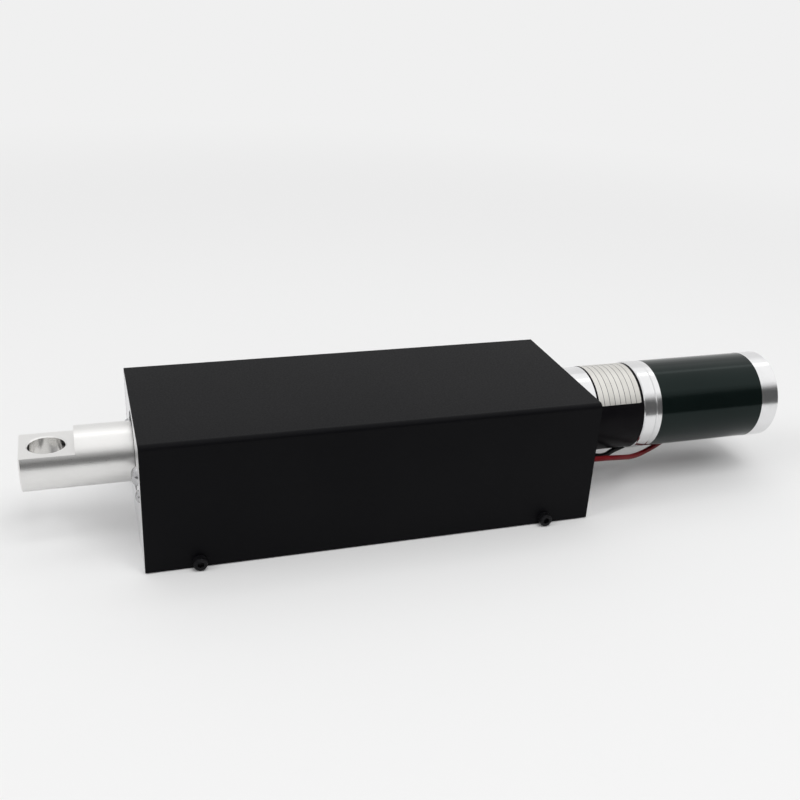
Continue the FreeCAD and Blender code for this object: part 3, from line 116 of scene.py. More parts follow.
def node(material, kind, settings=None, **values):
    """A new node of a material, with its settings and the values of its inputs."""
    made = material.node_tree.nodes.new("ShaderNode" + kind)
    for name, value in (settings or {}).items():
        setattr(made, name, value)
    for name, value in values.items():
        made.inputs[name.replace("_", " ")].default_value = value
    return made


def wire(material, start, output, end, socket):
    """Joins an output of one node to an input of another."""
    material.node_tree.links.new(start.outputs[output], end.inputs[socket])


def uneven(material, pattern, rough, depth):
    """A pattern from 0 to 1 moves the roughness between two values and dents the surface by a depth."""
    shader = shader_of(material)
    spread = node(material, "MapRange", From_Min=GRAIN_SPAN[0], From_Max=GRAIN_SPAN[1],
                  To_Min=rough[0], To_Max=rough[1])
    dents = node(material, "Bump", Distance=depth)
    wire(material, pattern, 0, spread, "Value")
    wire(material, spread, 0, shader, "Roughness")
    wire(material, pattern, 0, dents, "Height")
    wire(material, dents, 0, shader, "Normal")


def grain(material, size, rough, depth, stretch=(1, 1, 1)):
    """Fine grain of a size in metres, longer along the axes whose stretch is below 1."""
    place = node(material, "TexCoord")
    laid = node(material, "Mapping", Scale=stretch)
    noise = node(material, "TexNoise", Scale=1 / size, Detail=GRAIN_DETAIL)
    wire(material, place, "Object", laid, "Vector")
    wire(material, laid, 0, noise, "Vector")
    uneven(material, noise, rough, depth)


def tint(material, size, dark, light):
    """Slow changes of colour over a size in metres."""
    place = node(material, "TexCoord")
    noise = node(material, "TexNoise", Scale=1 / size, Detail=TINT_DETAIL)
    spread = node(material, "MapRange", From_Min=TINT_SPAN[0], From_Max=TINT_SPAN[1])
    blend = node(material, "Mix", {"data_type": "RGBA"})
    blend.inputs[MIX_DARK].default_value = (*dark, 1)
    blend.inputs[MIX_LIGHT].default_value = (*light, 1)
    wire(material, place, "Object", noise, "Vector")
    wire(material, noise, 0, spread, "Value")
    wire(material, spread, 0, blend, "Factor")
    wire(material, blend, MIX_COLOUR, shader_of(material), "Base Color")


def lead(name, route, material):
    """A smooth line through a wire's route, as thick as the wire."""
    curve = bpy.data.curves.new(name, "CURVE")
    curve.dimensions = "3D"
    curve.bevel_depth = LEAD_DIAMETER / 2
    curve.bevel_resolution = LEAD_ROUNDNESS
    curve.resolution_u = LEAD_STEPS
    curve.use_fill_caps = True
    spline = curve.splines.new("NURBS")
    spline.points.add(len(route) - 1)
    for point, place in zip(spline.points, route):
        point.co = (*place, 1)
    spline.order_u = 3
    spline.use_endpoint_u = True
    curve.materials.append(material)
    piece = bpy.data.objects.new(name, curve)
    scene.collection.objects.link(piece)
    return piece


red_insulation = finish("red_insulation", RED, metallic=0.0, roughness=0.42, Specular_IOR_Level=0.1)
tint(red_insulation, size=0.012, dark=RED_DEEP, light=RED)
grain(red_insulation, size=0.0012, rough=(0.32, 0.46), depth=0.00003)
red_lead = lead("red_motor_lead", RED_ROUTE, red_insulation)
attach(red_lead, "housing")
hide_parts("lead_red")

black_insulation = finish("black_insulation", LEAD_BLACK, metallic=0.0, roughness=0.42,
                          Specular_IOR_Level=0.03)
tint(black_insulation, size=0.012, dark=LEAD_BLACK, light=LEAD_BLACK_WORN)
grain(black_insulation, size=0.0012, rough=(0.34, 0.48), depth=0.00003)
black_lead = lead("black_motor_lead", BLACK_ROUTE, black_insulation)
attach(black_lead, "housing")
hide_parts("lead_black")


# Base and end plates. Aluminium plate, sawn and face-milled, left bare, and screwed together from below.
# The carriage, the bearing block and its cap, the bush retainer and the switch rail are of that plate.
ALUMINIUM = (0.80, 0.80, 0.81)
ALUMINIUM_DULL = (0.77, 0.77, 0.78)
MILL_STRETCH = 0.04


def milled(name, stretch):
    """Bare milled aluminium, with its mill marks along the axis whose stretch is below 1."""
    material = finish(name, ALUMINIUM, metallic=1.0, roughness=0.32)
    tint(material, size=0.02, dark=ALUMINIUM_DULL, light=ALUMINIUM)
    grain(material, size=0.0005, rough=(0.26, 0.42), depth=0.000006, stretch=stretch)
    return material


def dress(material, *names):
    """Gives a finish to pieces whose shape is right as it is."""
    for name in names:
        nodes[name].material_slots[0].material = material


milled_flat = milled("milled_flat_aluminium", stretch=(MILL_STRETCH, 1, 1))
dress(milled_flat, "base_plate")

milled_upright = milled("milled_upright_aluminium", stretch=(1, MILL_STRETCH, 1))
dress(milled_upright, "front_plate", "rear_plate", "carriage", "bearing_block", "bearing_cap",
      "bush_retainer", "switch_rail")


# Cover. One steel sheet folded to a U, powder coated black with a fine even texture, and held by a
# screw at each lower corner.
COVER_BLACK = (0.0024, 0.0024, 0.0032)
COVER_BLACK_PALE = (0.0034, 0.0034, 0.0042)

powder_coat = finish("black_powder_coat", COVER_BLACK, metallic=0.0, roughness=0.5,
                     Specular_IOR_Level=0.078)
tint(powder_coat, size=0.05, dark=COVER_BLACK, light=COVER_BLACK_PALE)
grain(powder_coat, size=0.0007, rough=(0.44, 0.56), depth=0.000012)
dress(powder_coat, "top_cover")


# Push rod. Aluminium bar, turned, milled flat on top of its end and blasted to an even satin, then
# cross-drilled and reamed smooth for a pin. Its rear end is locked in the carriage.
ROD_PALE = (0.84, 0.834, 0.822)
ROD_GREY = (0.79, 0.784, 0.772)
EYE_MIDDLE = (-0.1251, 0, 0)
EYE_RADIUS = 0.007
EYE_EDGE = 0.0001
REAMED_SHARE = 0.35


def axis_distance(material, middle, across):
    """How far a place is from an axis through a middle point, counted along the axes marked 1."""
    place = node(material, "TexCoord")
    centred = node(material, "Mapping", Location=[-value for value in middle])
    flattened = node(material, "VectorMath", {"operation": "MULTIPLY"})
    flattened.inputs[1].default_value = across
    distance = node(material, "VectorMath", {"operation": "LENGTH"})
    wire(material, place, "Object", centred, "Vector")
    wire(material, centred, 0, flattened, 0)
    wire(material, flattened, 0, distance, 0)
    return distance


satin_rod = finish("satin_rod_aluminium", ROD_PALE, metallic=1.0, roughness=0.3)
tint(satin_rod, size=0.03, dark=ROD_GREY, light=ROD_PALE)
grain(satin_rod, size=0.00025, rough=(0.27, 0.34), depth=0.000003)
rod_shader = shader_of(satin_rod)
blasted = rod_shader.inputs["Roughness"].links[0].from_node
eye_distance = axis_distance(satin_rod, EYE_MIDDLE, across=(1, 1, 0))
reamed = node(satin_rod, "MapRange", From_Min=EYE_RADIUS, From_Max=EYE_RADIUS + EYE_EDGE,
              To_Min=REAMED_SHARE)
rod_rough = node(satin_rod, "Math", {"operation": "MULTIPLY"})
wire(satin_rod, eye_distance, "Value", reamed, "Value")
wire(satin_rod, blasted, 0, rod_rough, 0)
wire(satin_rod, reamed, 0, rod_rough, 1)
wire(satin_rod, rod_rough, 0, rod_shader, "Roughness")
dress(satin_rod, "push_rod")


# Rod guide. A sintered bronze bush in the front plate, behind a rubber wiper ring whose lip rubs the rod.
# The nut on the screw and the bushes of the carriage, the gearbox and the motor are of the same bronze.
# The bushing and the boot that the leads pass through are of the same rubber.
BRONZE = (0.52, 0.34, 0.15)
BRONZE_DARK = (0.38, 0.24, 0.11)
RUBBER = (0.010, 0.010, 0.010)
RUBBER_DUSTY = (0.022, 0.022, 0.022)

bronze = finish("sintered_bronze", BRONZE, metallic=1.0, roughness=0.42)
tint(bronze, size=0.003, dark=BRONZE_DARK, light=BRONZE)
grain(bronze, size=0.0003, rough=(0.34, 0.52), depth=0.000010)
dress(bronze, "rod_bush", "drive_nut", "guide_bushes", "output_bush", "motor_bushes")

rubber = finish("moulded_rubber", RUBBER, metallic=0.0, roughness=0.7)
tint(rubber, size=0.004, dark=RUBBER, light=RUBBER_DUSTY)
grain(rubber, size=0.0004, rough=(0.62, 0.8), depth=0.000012)
dress(rubber, "rod_wiper", "lead_bushing", "lead_boot")


# Bright screws. Zinc-plated steel: domed screws in the front plate for the guide rods and the bush
# retainer, and the two long bolts that tie the motor together.
ZINC = (0.52, 0.52, 0.525)
ZINC_CLOUDY = (0.42, 0.42, 0.43)

zinc_plate = finish("zinc_plated_steel", ZINC, metallic=1.0, roughness=0.22)
tint(zinc_plate, size=0.0015, dark=ZINC_CLOUDY, light=ZINC)
grain(zinc_plate, size=0.0004, rough=(0.15, 0.3), depth=0.000004)
dress(zinc_plate, "guide_rod_screws", "retainer_screws", "motor_tie_bolts")


# Black screws. Socket-head screws of blackened steel hold the cover to the base plate's edges, each with
# a knurled head and a hexagon socket. The screws under the base and inside are of that steel.
OXIDE = (0.006, 0.006, 0.007)
OXIDE_WORN = (0.016, 0.016, 0.018)
HEAD_RADIUS = 0.00275
HEAD_HEIGHT = 0.003
HEAD_EDGE = 0.00035
HEAD_EDGE_STEPS = 3
SHANK_RADIUS = 0.0015
SHANK_LENGTH = 0.008
SOCKET_ACROSS = 0.0025
KNURLS = 40
KNURL_DEPTH = 0.00012
KNURL_EDGE = 0.00005
FACES_ALONG = 0.9
FACES_ACROSS = 0.1
SMOOTH_UNDER = math.radians(30)


def pick_faces(piece, chosen):
    """Goes into edit mode with those faces selected that a test holds for."""
    bpy.ops.object.mode_set(mode="OBJECT")
    bpy.context.tool_settings.mesh_select_mode = (False, False, True)
    for face in piece.data.polygons:
        face.select = chosen(face)
    bpy.ops.object.mode_set(mode="EDIT")


black_oxide = finish("blackened_steel", OXIDE, metallic=0.4, roughness=0.42, Specular_IOR_Level=0.16)
tint(black_oxide, size=0.0012, dark=OXIDE, light=OXIDE_WORN)
grain(black_oxide, size=0.0003, rough=(0.34, 0.52), depth=0.000006)
dress(black_oxide, "base_screws", "carriage_screws", "inner_cap_screws", "switch_screws",
      "gearbox_screws", "rod_lock_screw", "coupling_screws", "lock_nut")

bpy.ops.object.select_all(action="DESELECT")
bpy.ops.mesh.primitive_cylinder_add(vertices=KNURLS, radius=HEAD_RADIUS - KNURL_DEPTH, depth=HEAD_HEIGHT,
                                    location=(0, 0, HEAD_HEIGHT / 2))
cap_screw = bpy.context.object
bpy.ops.object.transform_apply()
pick_faces(cap_screw, lambda face: face.normal.z < -FACES_ALONG)
bpy.ops.mesh.inset(thickness=HEAD_RADIUS - KNURL_DEPTH - SHANK_RADIUS)
bpy.ops.mesh.extrude_region_move(TRANSFORM_OT_translate={"value": (0, 0, -SHANK_LENGTH)})
bpy.ops.mesh.bevel(offset=HEAD_EDGE, segments=1)
pick_faces(cap_screw, lambda face: face.normal.z > FACES_ALONG)
bpy.ops.mesh.bevel(offset=HEAD_EDGE, segments=HEAD_EDGE_STEPS)
pick_faces(cap_screw, lambda face: abs(face.normal.z) < FACES_ACROSS and face.center.z > 0)
bpy.ops.mesh.inset(use_individual=True, thickness=KNURL_EDGE, depth=KNURL_DEPTH)
bpy.ops.object.mode_set(mode="OBJECT")
bpy.ops.mesh.primitive_cylinder_add(vertices=6, radius=SOCKET_ACROSS / math.sqrt(3), depth=HEAD_HEIGHT,
                                    location=(0, 0, HEAD_HEIGHT))
hexagon = bpy.context.object
bpy.context.view_layer.objects.active = cap_screw
socket_cut = cap_screw.modifiers.new("socket", "BOOLEAN")
socket_cut.object = hexagon
bpy.ops.object.modifier_apply(modifier="socket")
bpy.data.objects.remove(hexagon)
cap_screw.data.materials.append(black_oxide)

screws_low, screws_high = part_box("cover_screws")
screw_ends = (screws_low[0] + HEAD_RADIUS, screws_high[0] - HEAD_RADIUS)
screw_height = (screws_low[2] + screws_high[2]) / 2
screw_seat = screws_high[1] - HEAD_HEIGHT
screw_places = [(x, side) for side in (-1, 1) for x in screw_ends]
for number, (x, side) in enumerate(screw_places, 1):
    bpy.ops.object.select_all(action="DESELECT")
    cap_screw.select_set(True)
    bpy.context.view_layer.objects.active = cap_screw
    bpy.ops.object.duplicate()
    cover_screw = bpy.context.object
    cover_screw.name = f"cover_screw_{number}"
    outwards = Matrix.Rotation(-side * QUARTER_TURN, 4, "X")
    cover_screw.matrix_world = Matrix.Translation((x, side * screw_seat, screw_height)) @ outwards
    bpy.ops.object.transform_apply()
    bpy.ops.object.shade_smooth_by_angle(angle=SMOOTH_UNDER)
    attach(cover_screw, "housing")
    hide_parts("cover_screws")
bpy.data.objects.remove(cap_screw)


# Ground steel. The guide rods, the lead screw, the bearing rings, the gears and their carrier are turned
# and ground, which leaves fine rings on them.
AXIS_HEIGHT = 0.034
STEEL = (0.62, 0.62, 0.63)
STEEL_DARK = (0.52, 0.52, 0.53)


def turning(material, size, rough, depth):
    """Fine rings left by the lathe, by the place along the axis and the distance from it."""
    place = node(material, "TexCoord")
    along = node(material, "SeparateXYZ")
    radius = axis_distance(material, (0, 0, AXIS_HEIGHT), across=(0, 1, 1))
    rings = node(material, "CombineXYZ")
    noise = node(material, "TexNoise", Scale=1 / size, Detail=GRAIN_DETAIL)
    wire(material, place, "Object", along, 0)
    wire(material, along, "X", rings, "X")
    wire(material, radius, "Value", rings, "Y")
    wire(material, rings, 0, noise, "Vector")
    uneven(material, noise, rough, depth)


ground_steel = finish("ground_steel", STEEL, metallic=1.0, roughness=0.2)
tint(ground_steel, size=0.01, dark=STEEL_DARK, light=STEEL)
turning(ground_steel, size=0.0004, rough=(0.14, 0.28), depth=0.000003)
dress(ground_steel, "guide_rods", "bearing_outer_rings", "bearing_inner_rings", "planet_carrier",
      "sun_gear", "planet_gear_1", "planet_gear_2", "planet_gear_3", "motor_shaft")


# Lead screw. A steel bar rolled with four trapezoidal threads side by side, ten millimetres a turn, and
# turned down at the rear for its bearings, its lock nut and the coupling.
THREAD_LEAD = 0.010
THREAD_STARTS = 4
THREAD_RADIUS = 0.006
THREAD_DEPTH = 0.0014
THREAD_CREST = 0.0009
THREAD_FLANK = 0.0004
THREAD_SMOOTH_UNDER = math.radians(25)
TURN_STEPS = 48
TURNS_BEFORE = 2
TURNS_SPARE = 3
MERGE_GAP = 0.000004
JOURNAL_RADIUS = 0.005
JOURNAL_SIDES = 64
SHAFT_RADIUS = 0.004
SHAFT_EDGE = 0.0004

screw_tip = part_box("lead_screw")[0][0]
thread_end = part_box("bearing_block")[0][0]
journal_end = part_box("lock_nut")[1][0]
shaft_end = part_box("lead_screw")[1][0]
thread_root = THREAD_LEAD / THREAD_STARTS - THREAD_CREST - 2 * THREAD_FLANK
thread_moves = [(THREAD_CREST, 0, 0), (THREAD_FLANK, 0, -THREAD_DEPTH), (thread_root, 0, 0),
                (THREAD_FLANK, 0, THREAD_DEPTH)]

bpy.ops.object.select_all(action="DESELECT")
bpy.ops.mesh.primitive_plane_add(size=THREAD_DEPTH,
                                 location=(screw_tip - TURNS_BEFORE * THREAD_LEAD, 0, THREAD_RADIUS))
threaded_screw = bpy.context.object
threaded_screw.name = "threaded_lead_screw"
bpy.ops.object.transform_apply()
bpy.context.tool_settings.mesh_select_mode = (True, False, False)
bpy.ops.object.mode_set(mode="EDIT")
bpy.ops.mesh.select_all(action="SELECT")
bpy.ops.mesh.merge(type="CENTER")
for move in thread_moves * THREAD_STARTS:
    bpy.ops.mesh.extrude_vertices_move(TRANSFORM_OT_translate={"value": move})
bpy.ops.object.mode_set(mode="OBJECT")
helix = threaded_screw.modifiers.new("helix", "SCREW")
helix.axis = "X"
helix.screw_offset = THREAD_LEAD
helix.iterations = math.ceil((thread_end - screw_tip) / THREAD_LEAD) + TURNS_SPARE
helix.steps = TURN_STEPS
helix.render_steps = TURN_STEPS
bpy.ops.object.modifier_apply(modifier="helix")
threaded_screw.location = (0, 0, AXIS_HEIGHT)
bpy.ops.object.transform_apply()
bpy.ops.object.mode_set(mode="EDIT")
bpy.ops.mesh.select_all(action="SELECT")
bpy.ops.mesh.remove_doubles(threshold=MERGE_GAP)
bpy.ops.mesh.bisect(plane_co=(screw_tip, 0, 0), plane_no=(1, 0, 0), use_fill=True, clear_inner=True)
bpy.ops.mesh.select_all(action="SELECT")
bpy.ops.mesh.bisect(plane_co=(thread_end, 0, 0), plane_no=(1, 0, 0), use_fill=True, clear_outer=True)
bpy.ops.mesh.select_all(action="SELECT")
bpy.ops.mesh.normals_make_consistent(inside=False)
bpy.ops.object.mode_set(mode="OBJECT")

bpy.ops.mesh.primitive_cylinder_add(
    vertices=JOURNAL_SIDES, radius=JOURNAL_RADIUS, depth=journal_end - thread_end,
    location=((thread_end + journal_end) / 2, 0, AXIS_HEIGHT), rotation=(0, QUARTER_TURN, 0))
journal = bpy.context.object
bpy.ops.object.transform_apply()
pick_faces(journal, lambda face: face.normal.x > FACES_ALONG)
bpy.ops.mesh.inset(thickness=JOURNAL_RADIUS - SHAFT_RADIUS)
bpy.ops.mesh.extrude_region_move(TRANSFORM_OT_translate={"value": (shaft_end - journal_end, 0, 0)})
bpy.ops.mesh.bevel(offset=SHAFT_EDGE, segments=1)
bpy.ops.object.mode_set(mode="OBJECT")
threaded_screw.select_set(True)
bpy.context.view_layer.objects.active = threaded_screw
bpy.ops.object.join()
bpy.ops.object.shade_smooth_by_angle(angle=THREAD_SMOOTH_UNDER)
threaded_screw.data.materials.append(ground_steel)
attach(threaded_screw, "screw")
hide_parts("lead_screw")


# Gearbox and motor ends. Aluminium turned bright: the coupling, the flange on the rear plate, the ring
# between gearbox and motor, the motor's front and its closed rear cap.
BRIGHT = (0.79, 0.79, 0.795)
BRIGHT_GREY = (0.75, 0.75, 0.755)

turned_bright = finish("turned_bright_aluminium", BRIGHT, metallic=1.0, roughness=0.22)
tint(turned_bright, size=0.008, dark=BRIGHT_GREY, light=BRIGHT)
turning(turned_bright, size=0.0004, rough=(0.15, 0.21), depth=0.000002)
dress(turned_bright, "gearbox_flange", "motor_adapter", "motor_front_cap", "motor_end_cap",
      "shaft_coupling")


# Ring gear. A steel tube with the gearbox's teeth inside, painted satin black outside.
# It is clamped between the flange and the ring behind it.
GEARBOX_BLACK = (0.0035, 0.0030, 0.0040)
GEARBOX_BLACK_PALE = (0.0055, 0.0050, 0.0060)

satin_black = finish("satin_black_paint", GEARBOX_BLACK, metallic=0.0, roughness=0.36,
                     Specular_IOR_Level=0.06)
tint(satin_black, size=0.01, dark=GEARBOX_BLACK, light=GEARBOX_BLACK_PALE)
grain(satin_black, size=0.0006, rough=(0.3, 0.44), depth=0.000008)
dress(satin_black, "ring_gear")


# Label. A silver foil ruled with thin grey lines and otherwise blank. It is cut with rounded corners and
# glued over the top of the ring gear.
LABEL_FRONT = 0.1036
LABEL_REAR = 0.1244
LABEL_RADIUS = 0.0192
LABEL_SIDES = 180
LABEL_THICK = 0.0001
LABEL_EDGE_ANGLE = math.radians(28)
LABEL_CORNER = 0.0011
LABEL_CORNER_STEPS = 5
LINE_GAP = 0.0026
LINE_WIDE = 0.00013
LINE_SOFT = 0.2
LINES_APART = 10
FOIL = (0.69, 0.675, 0.64)
FOIL_GREY = (0.64, 0.625, 0.59)
RULED = (0.05, 0.05, 0.055)

bpy.ops.object.select_all(action="DESELECT")
bpy.ops.mesh.primitive_cylinder_add(
    vertices=LABEL_SIDES, radius=LABEL_RADIUS, depth=LABEL_REAR - LABEL_FRONT, end_fill_type="NOTHING",
    location=((LABEL_FRONT + LABEL_REAR) / 2, 0, AXIS_HEIGHT), rotation=(0, QUARTER_TURN, 0))
label = bpy.context.object
label.name = "blank_label"
bpy.ops.object.transform_apply()
label_edge = AXIS_HEIGHT + LABEL_RADIUS * math.sin(LABEL_EDGE_ANGLE)
bpy.ops.object.mode_set(mode="EDIT")
bpy.ops.mesh.select_all(action="SELECT")
bpy.ops.mesh.bisect(plane_co=(0, 0, label_edge), plane_no=(0, 0, 1), clear_inner=True)
bpy.ops.mesh.select_all(action="DESELECT")
bpy.ops.object.mode_set(mode="OBJECT")
bpy.context.tool_settings.mesh_select_mode = (True, False, False)
for vertex in label.data.vertices:
    vertex.select = vertex.co.z < label_edge + LABEL_THICK
bpy.ops.object.mode_set(mode="EDIT")
bpy.ops.mesh.bevel(offset=LABEL_CORNER, segments=LABEL_CORNER_STEPS, affect="VERTICES")
bpy.ops.object.mode_set(mode="OBJECT")
thick = label.modifiers.new("foil", "SOLIDIFY")
thick.thickness = LABEL_THICK
thick.offset = 1
bpy.ops.object.modifier_apply(modifier="foil")
bpy.ops.object.shade_smooth_by_angle(angle=SMOOTH_UNDER)

foil = finish("silver_foil", FOIL, metallic=0.6, roughness=0.4)
foil_uv = node(foil, "TexCoord")
foil_size = node(foil, "Mapping", Scale=(2 * math.pi * LABEL_RADIUS, LABEL_REAR - LABEL_FRONT, 1))
ruling = node(foil, "TexBrick", {"offset": 0.0}, Scale=1.0, Mortar_Size=LINE_WIDE,
              Mortar_Smooth=LINE_SOFT, Brick_Width=LINES_APART * LINE_GAP, Row_Height=LINE_GAP)
ruling.inputs["Color1"].default_value = (*FOIL, 1)
ruling.inputs["Color2"].default_value = (*FOIL_GREY, 1)
ruling.inputs["Mortar"].default_value = (*RULED, 1)
wire(foil, foil_uv, "UV", foil_size, "Vector")
wire(foil, foil_size, 0, ruling, "Vector")
wire(foil, ruling, "Color", shader_of(foil), "Base Color")
grain(foil, size=0.0008, rough=(0.34, 0.46), depth=0.000004)
label.data.materials.append(foil)
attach(label, "housing")


# Motor can. A drawn steel tube in glossy green-black enamel, held between the end caps by two tie bolts.
# The magnets are glued inside it. They, the armature's core and the brushes are dull and dark.
ENAMEL = (0.0022, 0.0046, 0.0042)
ENAMEL_PALE = (0.0034, 0.0064, 0.0058)
ENAMEL_GLOSS = (0.78, 1.0, 0.96, 1)
FERRITE = (0.060, 0.060, 0.064)
FERRITE_PALE = (0.090, 0.090, 0.095)
SHEET_STRETCH = 0.05

enamel = finish("green_black_enamel", ENAMEL, metallic=0.0, roughness=0.2,
                Specular_IOR_Level=0.2, Specular_Tint=ENAMEL_GLOSS)
tint(enamel, size=0.03, dark=ENAMEL, light=ENAMEL_PALE)
grain(enamel, size=0.0015, rough=(0.10, 0.16), depth=0.000004)
dress(enamel, "motor_can")

ferrite = finish("ferrite_and_iron", FERRITE, metallic=0.6, roughness=0.6)
tint(ferrite, size=0.003, dark=FERRITE, light=FERRITE_PALE)
grain(ferrite, size=0.0003, rough=(0.5, 0.7), depth=0.000010, stretch=(1, SHEET_STRETCH, SHEET_STRETCH))
dress(ferrite, "motor_magnets", "armature_core", "brushes")


# Armature. Enamelled copper wire wound in the slots of the core, and a commutator of copper bars that
# the brushes press on.
COPPER = (0.70, 0.31, 0.16)
COPPER_DARK = (0.48, 0.18, 0.08)

copper = finish("enamelled_copper", COPPER, metallic=1.0, roughness=0.3)
tint(copper, size=0.002, dark=COPPER_DARK, light=COPPER)
turning(copper, size=0.0006, rough=(0.22, 0.4), depth=0.00004)
dress(copper, "armature_windings", "commutator")


# Switches and brush ring. Black moulded plastic: the cases and plungers of the two limit switches, the
# flag on the carriage that trips them, and the ring that carries the motor's brushes.
PLASTIC = (0.018, 0.018, 0.019)
PLASTIC_PALE = (0.028, 0.028, 0.029)

plastic = finish("moulded_black_plastic", PLASTIC, metallic=0.0, roughness=0.5)
tint(plastic, size=0.003, dark=PLASTIC, light=PLASTIC_PALE)
grain(plastic, size=0.0004, rough=(0.42, 0.58), depth=0.000012)
dress(plastic, "front_switch", "rear_switch", "front_plunger", "rear_plunger", "trip_flag", "brush_ring")


# Floor. A wide pale table top, matt round the actuator, where it takes the shadow. Further out it passes
# into the tone of the room. It can be looked through from below and is cut out under the base plate, so
# that the actuator's underside is seen in the room's light.
PALE = (0.871, 0.871, 0.871)
FLOOR_RADIUS = 6.0
FLOOR_SIDES = 96
SHADOW_RADIUS = 0.3
FADE_RADIUS = 0.9
CUT_INSIDE = 0.0003


def backdrop(name):
    """A material with no shader in it yet, for what stands round the actuator."""
    material = bpy.data.materials.new(name)
    material.use_nodes = True
    material.node_tree.nodes.clear()
    return material


def seen_ray(material):
    """A node that gives 1 where something is looked at, also in metal or through glass, and else 0."""
    ray = node(material, "LightPath")
    mirrored = node(material, "Math", {"operation": "MAXIMUM"})
    seen = node(material, "Math", {"operation": "MAXIMUM"})
    wire(material, ray, "Is Glossy Ray", mirrored, 0)
    wire(material, ray, "Is Transmission Ray", mirrored, 1)
    wire(material, ray, "Is Camera Ray", seen, 0)
    wire(material, mirrored, 0, seen, 1)
    return seen


def passing(material, share, output, first, second):
    """A shader that passes from a first one to a second as a share goes from 0 to 1."""
    mix = node(material, "MixShader")
    wire(material, share, output, mix, 0)
    wire(material, first, 0, mix, 1)
    wire(material, second, 0, mix, 2)
    return mix


base_low, base_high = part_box("base_plate")
bpy.ops.object.select_all(action="DESELECT")
bpy.ops.mesh.primitive_circle_add(vertices=FLOOR_SIDES, radius=FLOOR_RADIUS, fill_type="NGON")
floor = bpy.context.object
floor.name = "floor"
bpy.ops.object.mode_set(mode="EDIT")
for corner, inside in ((base_low, CUT_INSIDE), (base_high, -CUT_INSIDE)):
    for across in ((1, 0, 0), (0, 1, 0)):
        bpy.ops.mesh.select_all(action="SELECT")
        bpy.ops.mesh.bisect(plane_co=(corner[0] + inside, corner[1] + inside, 0), plane_no=across)
pick_faces(floor, lambda face: face.center.length < base_high[1])
bpy.ops.mesh.delete(type="FACE")
bpy.ops.object.mode_set(mode="OBJECT")

floor_paint = backdrop("pale_floor")
floor_matt = node(floor_paint, "BsdfDiffuse", Color=(*PALE, 1))
floor_glow = node(floor_paint, "Emission", Color=(*PALE, 1))
floor_clear = node(floor_paint, "BsdfTransparent")
floor_side = node(floor_paint, "NewGeometry")
floor_distance = axis_distance(floor_paint, (0, 0, 0), across=(1, 1, 0))
floor_fade = node(floor_paint, "MapRange", {"interpolation_type": "SMOOTHSTEP"},
                  From_Min=SHADOW_RADIUS, From_Max=FADE_RADIUS)
floor_share = node(floor_paint, "Math", {"operation": "MULTIPLY"})
wire(floor_paint, floor_distance, "Value", floor_fade, "Value")
wire(floor_paint, floor_fade, 0, floor_share, 0)
wire(floor_paint, seen_ray(floor_paint), 0, floor_share, 1)
floor_top = passing(floor_paint, floor_share, 0, floor_matt, floor_glow)
floor_sides = passing(floor_paint, floor_side, "Backfacing", floor_top, floor_clear)
floor_out = node(floor_paint, "OutputMaterial")
wire(floor_paint, floor_sides, 0, floor_out, "Surface")
floor.data.materials.append(floor_paint)


# Room. Pale and even all round, as a light tent is. The camera and the metal see that tone, and matt
# surfaces get a part of its light as fill, so that the lamps above draw the shadow.
ROOM_FILL = 0.557

room = bpy.data.worlds.new("room")
scene.world = room
room.use_nodes = True
room_light = room.node_tree.nodes["Background"]
room_light.inputs["Color"].default_value = (*PALE, 1)
room_strength = node(room, "MapRange", To_Min=ROOM_FILL)
wire(room, seen_ray(room), 0, room_strength, "Value")
wire(room, room_strength, 0, room_light, "Strength")


# Lamps. A wide soft box above, and beyond it a slim strip that draws the bright line along the motor,
# show in the metal. A window on the left and a lamp above the camera, which don't, set the shadow on the
# floor.
BOX_PLACE = (0.25, 0.1, 1.2)
BOX_TARGET = (0.25, 0.1, 0.0)
BOX_SIZE = 2.2
BOX_POWER = 3.7
STRIP_PLACE = (0.25, 0.37, 1.15)
STRIP_TARGET = (0.25, 0.37, 0.0)
STRIP_LENGTH = 2.2
STRIP_WIDTH = 0.15
STRIP_POWER = 0.8
WINDOW_PLACE = (-2.0, -0.2, 1.6)
WINDOW_TARGET = (0.0, 0.0, 0.0)
WINDOW_SIZE = 1.4
WINDOW_POWER = 14.9
HIGH_PLACE = (0.3, -0.7, 1.6)
HIGH_TARGET = (0.3, 0.0, 0.0)
HIGH_SIZE = 1.0
HIGH_POWER = 10.3


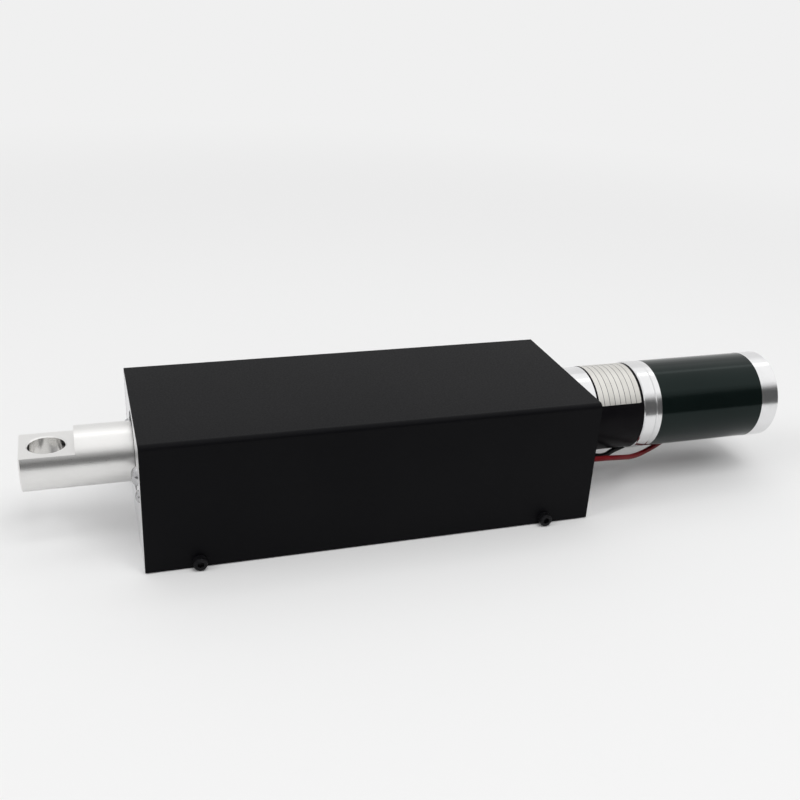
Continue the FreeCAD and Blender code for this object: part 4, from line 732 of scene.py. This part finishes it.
def lamp(place, target, length, width, power, mirrored):
    """A flat soft lamp that faces a target, and shows in the metal if it is mirrored."""
    facing = (Vector(target) - Vector(place)).to_track_quat("-Z", "Y").to_euler()
    bpy.ops.object.light_add(type="AREA", location=place, rotation=facing)
    made = bpy.context.object
    made.data.shape = "RECTANGLE"
    made.data.size = length
    made.data.size_y = width
    made.data.energy = power
    made.visible_glossy = mirrored


lamp(BOX_PLACE, BOX_TARGET, BOX_SIZE, BOX_SIZE, BOX_POWER, mirrored=True)
lamp(STRIP_PLACE, STRIP_TARGET, STRIP_LENGTH, STRIP_WIDTH, STRIP_POWER, mirrored=True)
lamp(WINDOW_PLACE, WINDOW_TARGET, WINDOW_SIZE, WINDOW_SIZE, WINDOW_POWER, mirrored=False)
lamp(HIGH_PLACE, HIGH_TARGET, HIGH_SIZE, HIGH_SIZE, HIGH_POWER, mirrored=False)


# Dark card. A grey card that stands by the camera and fades out upwards. The metal alone sees it, as the
# dark band below its bright one.
CARD_PLACE = (0.2, -0.28)
CARD_WIDTH = 4.0
CARD_HEIGHT = 1.2
CARD_GREY = (0.15, 0.15, 0.15)
CARD_SLOPE = math.radians(8.1)
CARD_SOLID = 0.14
CARD_GONE = 0.26

bpy.ops.mesh.primitive_plane_add(size=1, rotation=(QUARTER_TURN, 0, 0))
card = bpy.context.object
card.name = "dark_card"
card.scale = (CARD_WIDTH, CARD_HEIGHT, 1)
card.location = (*CARD_PLACE, CARD_HEIGHT / 2)
bpy.ops.object.transform_apply()

card_paint = backdrop("dark_card")
card_matt = node(card_paint, "BsdfDiffuse", Color=(*CARD_GREY, 1))
card_clear = node(card_paint, "BsdfTransparent")
card_place = node(card_paint, "TexCoord")
card_slope = node(card_paint, "Mapping", Rotation=(0, CARD_SLOPE, 0))
card_up = node(card_paint, "SeparateXYZ")
card_fade = node(card_paint, "MapRange", {"interpolation_type": "SMOOTHSTEP"},
                 From_Min=CARD_SOLID, From_Max=CARD_GONE)
wire(card_paint, card_place, "Object", card_slope, "Vector")
wire(card_paint, card_slope, 0, card_up, 0)
wire(card_paint, card_up, "Z", card_fade, "Value")
card_shader = passing(card_paint, card_fade, 0, card_matt, card_clear)
card_out = node(card_paint, "OutputMaterial")
wire(card_paint, card_shader, 0, card_out, "Surface")
card.data.materials.append(card_paint)
card.visible_camera = False
card.visible_diffuse = False
card.visible_shadow = False
